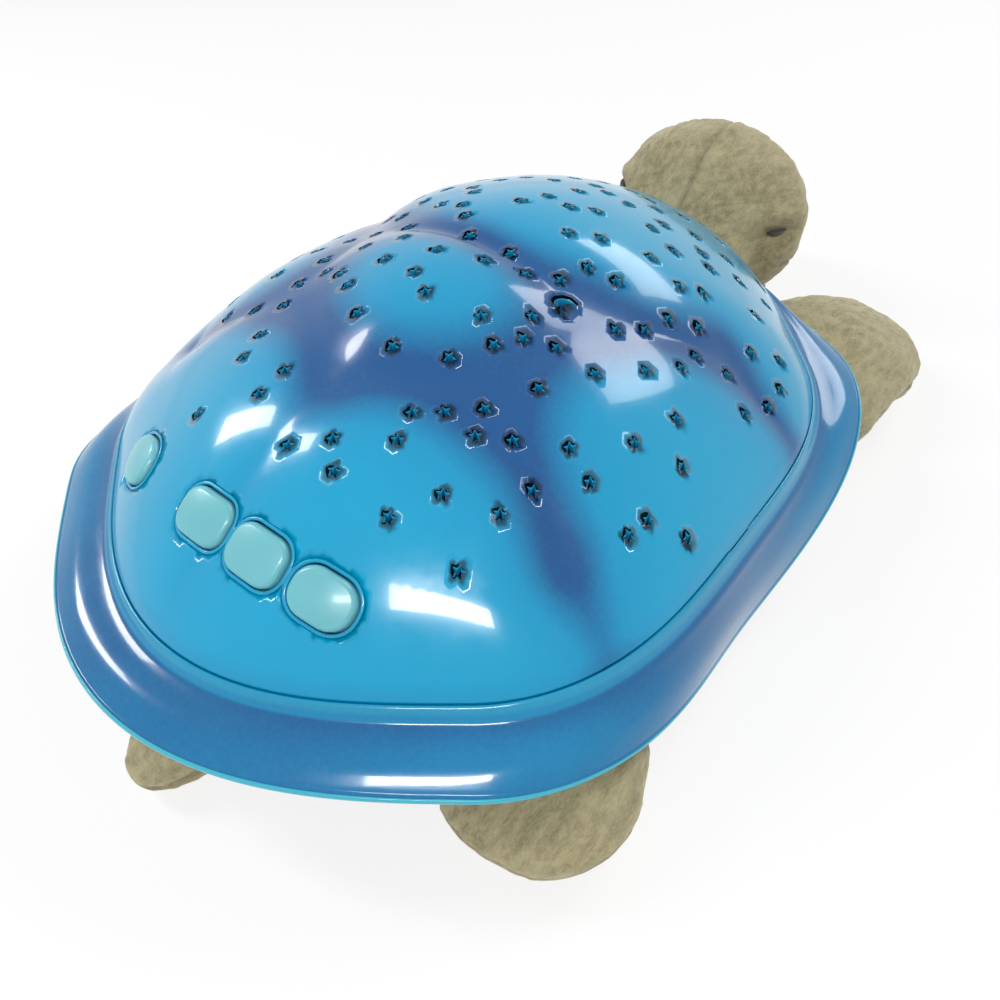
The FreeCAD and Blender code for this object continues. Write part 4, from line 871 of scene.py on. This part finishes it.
def headShape(p, t, turn):
    # brow folds over the eyes, and the seam down the middle of the crown; the eye hollows, the mouth crease and the
    # crown seam get painted shade
    foldShade = np.zeros(len(p))
    for side in (-1, 1):
        onSide = np.sign(p[:, 0]) == side
        dip = np.exp(-((p[:, 1] - eyeForm["y"]) / 8.5) ** 2 - ((p[:, 2] - eyeForm["z"]) / 2.6) ** 2) * onSide
        p[:, 0] -= side * dip * 2.2
        foldShade += dip * 0.35
        brow = np.exp(-((p[:, 1] - eyeForm["y"]) / 12) ** 2 - ((p[:, 2] - eyeForm["z"] - 6) / 3.6) ** 2) * onSide
        p[:, 0] += side * brow * 2.2
        p[:, 2] += brow * 1.0
        mouth = np.exp(-((p[:, 2] - 27 - 0.1 * (p[:, 1] + 200)) / 1.1) ** 2) * (p[:, 1] < -172) * onSide
        p[:, 0] -= side * mouth * 1.2
        p[:, 1] += mouth * 0.8
        foldShade += mouth * 0.45
    seamLine = np.exp(-(p[:, 0] / 1.4) ** 2) * (p[:, 2] > 45)
    p[:, 2] -= seamLine * 1.0
    return foldShade + seamLine * 0.4


head = softLimb("head", (0, -98), (0, -1), headStations, rounds=260, steps=220, seed=23, shaper=headShape)
putOn(head, plushPile, "root", ["plush_head"])
print("head made")


# Belly: a stuffed ring round the battery bay, with a flat underside
bellyForm = {"inset": 4, "height": 33, "windowWide": 38.7, "windowLow": -33.7, "windowHigh": 36.9}


def buildBelly():
    rounds = 360
    angles = np.arange(rounds) * 360 / rounds
    reach = eased(shellForm["creaseRadius"], angles) - bellyForm["inset"]
    halfWide = bellyForm["windowWide"] / 2
    low, high = bellyForm["windowLow"], bellyForm["windowHigh"]
    middle = (low + high) / 2
    # the window's outline, met by the same directions
    dx, dy = np.sin(np.radians(angles)), -np.cos(np.radians(angles))
    scale = np.minimum(halfWide / np.maximum(np.abs(dx), 1e-6), (high - low) / 2 / np.maximum(np.abs(dy), 1e-6))
    wx, wy = dx * scale, middle + dy * scale
    rings = [(0.0, 30.5), (0.0, 6.0), (0.01, 1.4), (0.04, 0.25)]
    points = []
    for share, z in rings:
        px, py = plan(angles, reach * 0.82)
        points.append(np.stack([wx + (px - wx) * share, wy + (py - wy) * share, np.full(rounds, z)], 1))
    for share in np.linspace(0.09, 1, 26):
        px, py = plan(angles, reach * 0.82)
        z = 0.3 + 0.0 * share
        points.append(np.stack([wx + (px - wx) * share, wy + (py - wy) * share, np.full(rounds, z)], 1))
    for t in np.linspace(0.03, 1, 34):
        z = bellyForm["height"] * t
        width = np.interp(t, [0, 0.2, 0.5, 0.85, 1], [0.82, 0.95, 1.0, 0.98, 0.95])
        width = width - 0.03 * math.exp(-((t - 0.05) / 0.05) ** 2)
        px, py = plan(angles, reach * width)
        points.append(np.stack([px, py, np.full(rounds, z)], 1))
    for share in (0.96, 0.7, 0.35, 0.0):
        px, py = plan(angles, reach * 0.95)
        points.append(np.stack([wx + (px - wx) * share, wy + (py - wy) * share,
                                np.full(rounds, bellyForm["height"] - 0.5 if share else 30.5)], 1))
    p = np.concatenate(points)
    lift = noise3(p, 20.0, 31) * 1.6 + noise3(p, 1.7, 33) * 0.6 + noise3(p, 7.0, 32) * 0.8
    outward = np.where(p[:, 2] > 2.0, 1.0, 0.0) * (np.hypot(p[:, 0], p[:, 1]) > 70)
    r = np.hypot(p[:, 0], p[:, 1]) + 1e-6
    p[:, 0] += p[:, 0] / r * lift * outward
    p[:, 1] += p[:, 1] / r * lift * outward
    flat = p[:, 2] < 0.9
    p[flat, 2] = np.maximum(0, 0.45 + lift[flat] * 0.5)
    faces = []
    n = len(points)
    for i in range(n - 1):
        for j in range(rounds):
            k = (j + 1) % rounds
            faces.append((i * rounds + j, (i + 1) * rounds + j, (i + 1) * rounds + k, i * rounds + k))
    piece = makeMesh("belly", p, faces)
    foldShade = np.zeros(len(p), np.float32)
    piece.data.attributes.new("foldShade", "FLOAT", "POINT").data.foreach_set("value", foldShade)
    return piece


belly = buildBelly()
putOn(belly, plushPile, "root", ["plush_body"])
print("belly made")


# Eyes: a dark slit of satin stitches under each brow
def threadMaterial():
    material, tree = newTree("eyeThread")
    out = put(tree, "ShaderNodeOutputMaterial")
    shader = put(tree, "ShaderNodeBsdfPrincipled", Roughness=0.55, Sheen_Weight=0.2)
    place = put(tree, "ShaderNodeTexCoord").outputs["Object"]
    strands = put(tree, "ShaderNodeTexWave", Scale=950.0, Distortion=2.0, Detail=2.0)
    join(tree, place, strands.inputs["Vector"])
    colour = ramp(tree, strands.outputs["Fac"], [(0.0, (0.006, 0.005, 0.004)), (1.0, (0.035, 0.03, 0.022))])
    join(tree, colour, shader.inputs["Base Color"])
    bump = put(tree, "ShaderNodeBump", Strength=0.6, Distance=0.0004)
    join(tree, strands.outputs["Fac"], bump.inputs["Height"])
    join(tree, bump.outputs["Normal"], shader.inputs["Normal"])
    join(tree, shader.outputs["BSDF"], out.inputs["Surface"])
    return material


eyeThread = threadMaterial()
for side, word in ((-1, "right"), (1, "left")):
    leanAlong = math.radians(eyeForm["turn"])
    points, faces = [], []
    for i in range(41):
        s = -1 + 2 * i / 40
        swell = max(0.02, (1 - s * s)) ** 0.75
        for j in range(24):
            a = 2 * math.pi * j / 24
            out = eyeForm["deep"] * swell * math.cos(a)
            along = eyeForm["long"] * s
            x = eyeForm["x"] + along * math.sin(leanAlong) + out * math.cos(leanAlong)
            y = eyeForm["y"] - along * math.cos(leanAlong) + out * math.sin(leanAlong)
            points.append((side * x, y, eyeForm["z"] + eyeForm["tall"] * swell * math.sin(a) + 0.8 * s * s))
    for i in range(40):
        for j in range(24):
            k = (j + 1) % 24
            faces.append((i * 24 + j, i * 24 + k, i * 24 + 24 + k, i * 24 + 24 + j))
    putOn(makeMesh(f"eye_slit_{word}", points, faces), eyeThread, "root", [f"eye_{word}"])

# Camera at the photograph's angle
cameraFit = {"azimuth": 218.1, "elevation": 47.8, "roll": -0.2, "focal": 0.6965, "across": -7.6, "up": 37.9,
             "away": 250.4, "pivot": (0, 0, 40)}
azimuth, elevation, roll = (math.radians(cameraFit[k]) for k in ("azimuth", "elevation", "roll"))
back = Vector((math.sin(azimuth) * math.cos(elevation), -math.cos(azimuth) * math.cos(elevation),
               math.sin(elevation)))
right = Vector((math.cos(azimuth), math.sin(azimuth), 0))
up = back.cross(right)
right, up = (right * math.cos(roll) + up * math.sin(roll), up * math.cos(roll) - right * math.sin(roll))
pivot = Vector(cameraFit["pivot"]) + Vector((0, backShift, 0))
place = (pivot - right * cameraFit["across"] - up * cameraFit["up"] + back * cameraFit["away"]) * mm
camera = bpy.data.objects.new("camera", bpy.data.cameras.new("camera"))
camera.data.sensor_width = 36
camera.data.lens = 36 * cameraFit["focal"]
camera.data.clip_start, camera.data.clip_end = 0.01, 20
camera.matrix_world = Matrix.Translation(place) @ Matrix((right, up, back)).transposed().to_4x4()
bpy.context.scene.collection.objects.link(camera)
bpy.context.scene.camera = camera


# Studio: pale floor, soft boxes and an even surround
def floorMaterial():
    material, tree = newTree("studioFloor")
    out = put(tree, "ShaderNodeOutputMaterial")
    shader = put(tree, "ShaderNodeBsdfPrincipled", Roughness=0.9)
    shader.inputs["Base Color"].default_value = (0.93, 0.93, 0.93, 1)
    glow = put(tree, "ShaderNodeEmission")
    glow.inputs["Color"].default_value = (1, 1, 1, 1)
    light = put(tree, "ShaderNodeLightPath")
    seen = maths(tree, "MAXIMUM", light.outputs["Is Camera Ray"], light.outputs["Is Glossy Ray"])
    blend = put(tree, "ShaderNodeMixShader")
    join(tree, maths(tree, "MULTIPLY", seen, 0.72), blend.inputs["Fac"])
    join(tree, shader.outputs["BSDF"], blend.inputs[1])
    join(tree, glow.outputs["Emission"], blend.inputs[2])
    join(tree, blend.outputs["Shader"], out.inputs["Surface"])
    return material


bpy.ops.mesh.primitive_plane_add(size=30)
floor = bpy.context.object
floor.name = "studio_floor"
floor.data.materials.append(floorMaterial())

world = bpy.data.worlds.new("studioWorld")
bpy.context.scene.world = world
world.use_nodes = True
tree = world.node_tree
tree.nodes.clear()
worldOut = put(tree, "ShaderNodeOutputWorld")
even, shown = put(tree, "ShaderNodeBackground"), put(tree, "ShaderNodeBackground")
even.inputs["Color"].default_value = (1, 1, 1, 1)
even.inputs["Strength"].default_value = 0.3
shown.inputs["Color"].default_value = (1, 1, 1, 1)
shown.inputs["Strength"].default_value = 1.0
paths = put(tree, "ShaderNodeLightPath")
seen = maths(tree, "MAXIMUM", paths.outputs["Is Camera Ray"], paths.outputs["Is Transmission Ray"])
seen = maths(tree, "MAXIMUM", seen, paths.outputs["Is Glossy Ray"])
blend = put(tree, "ShaderNodeMixShader")
join(tree, seen, blend.inputs["Fac"])
join(tree, even.outputs["Background"], blend.inputs[1])
join(tree, shown.outputs["Background"], blend.inputs[2])
join(tree, blend.outputs["Shader"], worldOut.inputs["Surface"])

softBoxes = {
    "keyBox": {"at": (-0.55, 0.75, 0.95), "size": (0.5, 0.14), "watts": 9},
    "fillBox": {"at": (0.9, 0.35, 0.8), "size": (0.16, 0.5), "watts": 6},
    "headBox": {"at": (-0.2, -1.0, 0.9), "size": (0.7, 0.4), "watts": 6},
}
for name, box in softBoxes.items():
    lamp = bpy.data.lights.new(name, "AREA")
    lamp.shape = "RECTANGLE"
    lamp.size, lamp.size_y = box["size"]
    lamp.energy = box["watts"]
    holder = bpy.data.objects.new(name, lamp)
    holder.location = box["at"]
    holder.rotation_mode = "QUATERNION"
    holder.rotation_quaternion = (Vector(box["at"]) - Vector((0, 0.02, 0.05))).to_track_quat("Z", "Y")
    bpy.context.scene.collection.objects.link(holder)

bpy.context.scene.view_settings.view_transform = "Standard"
print("scene ready")
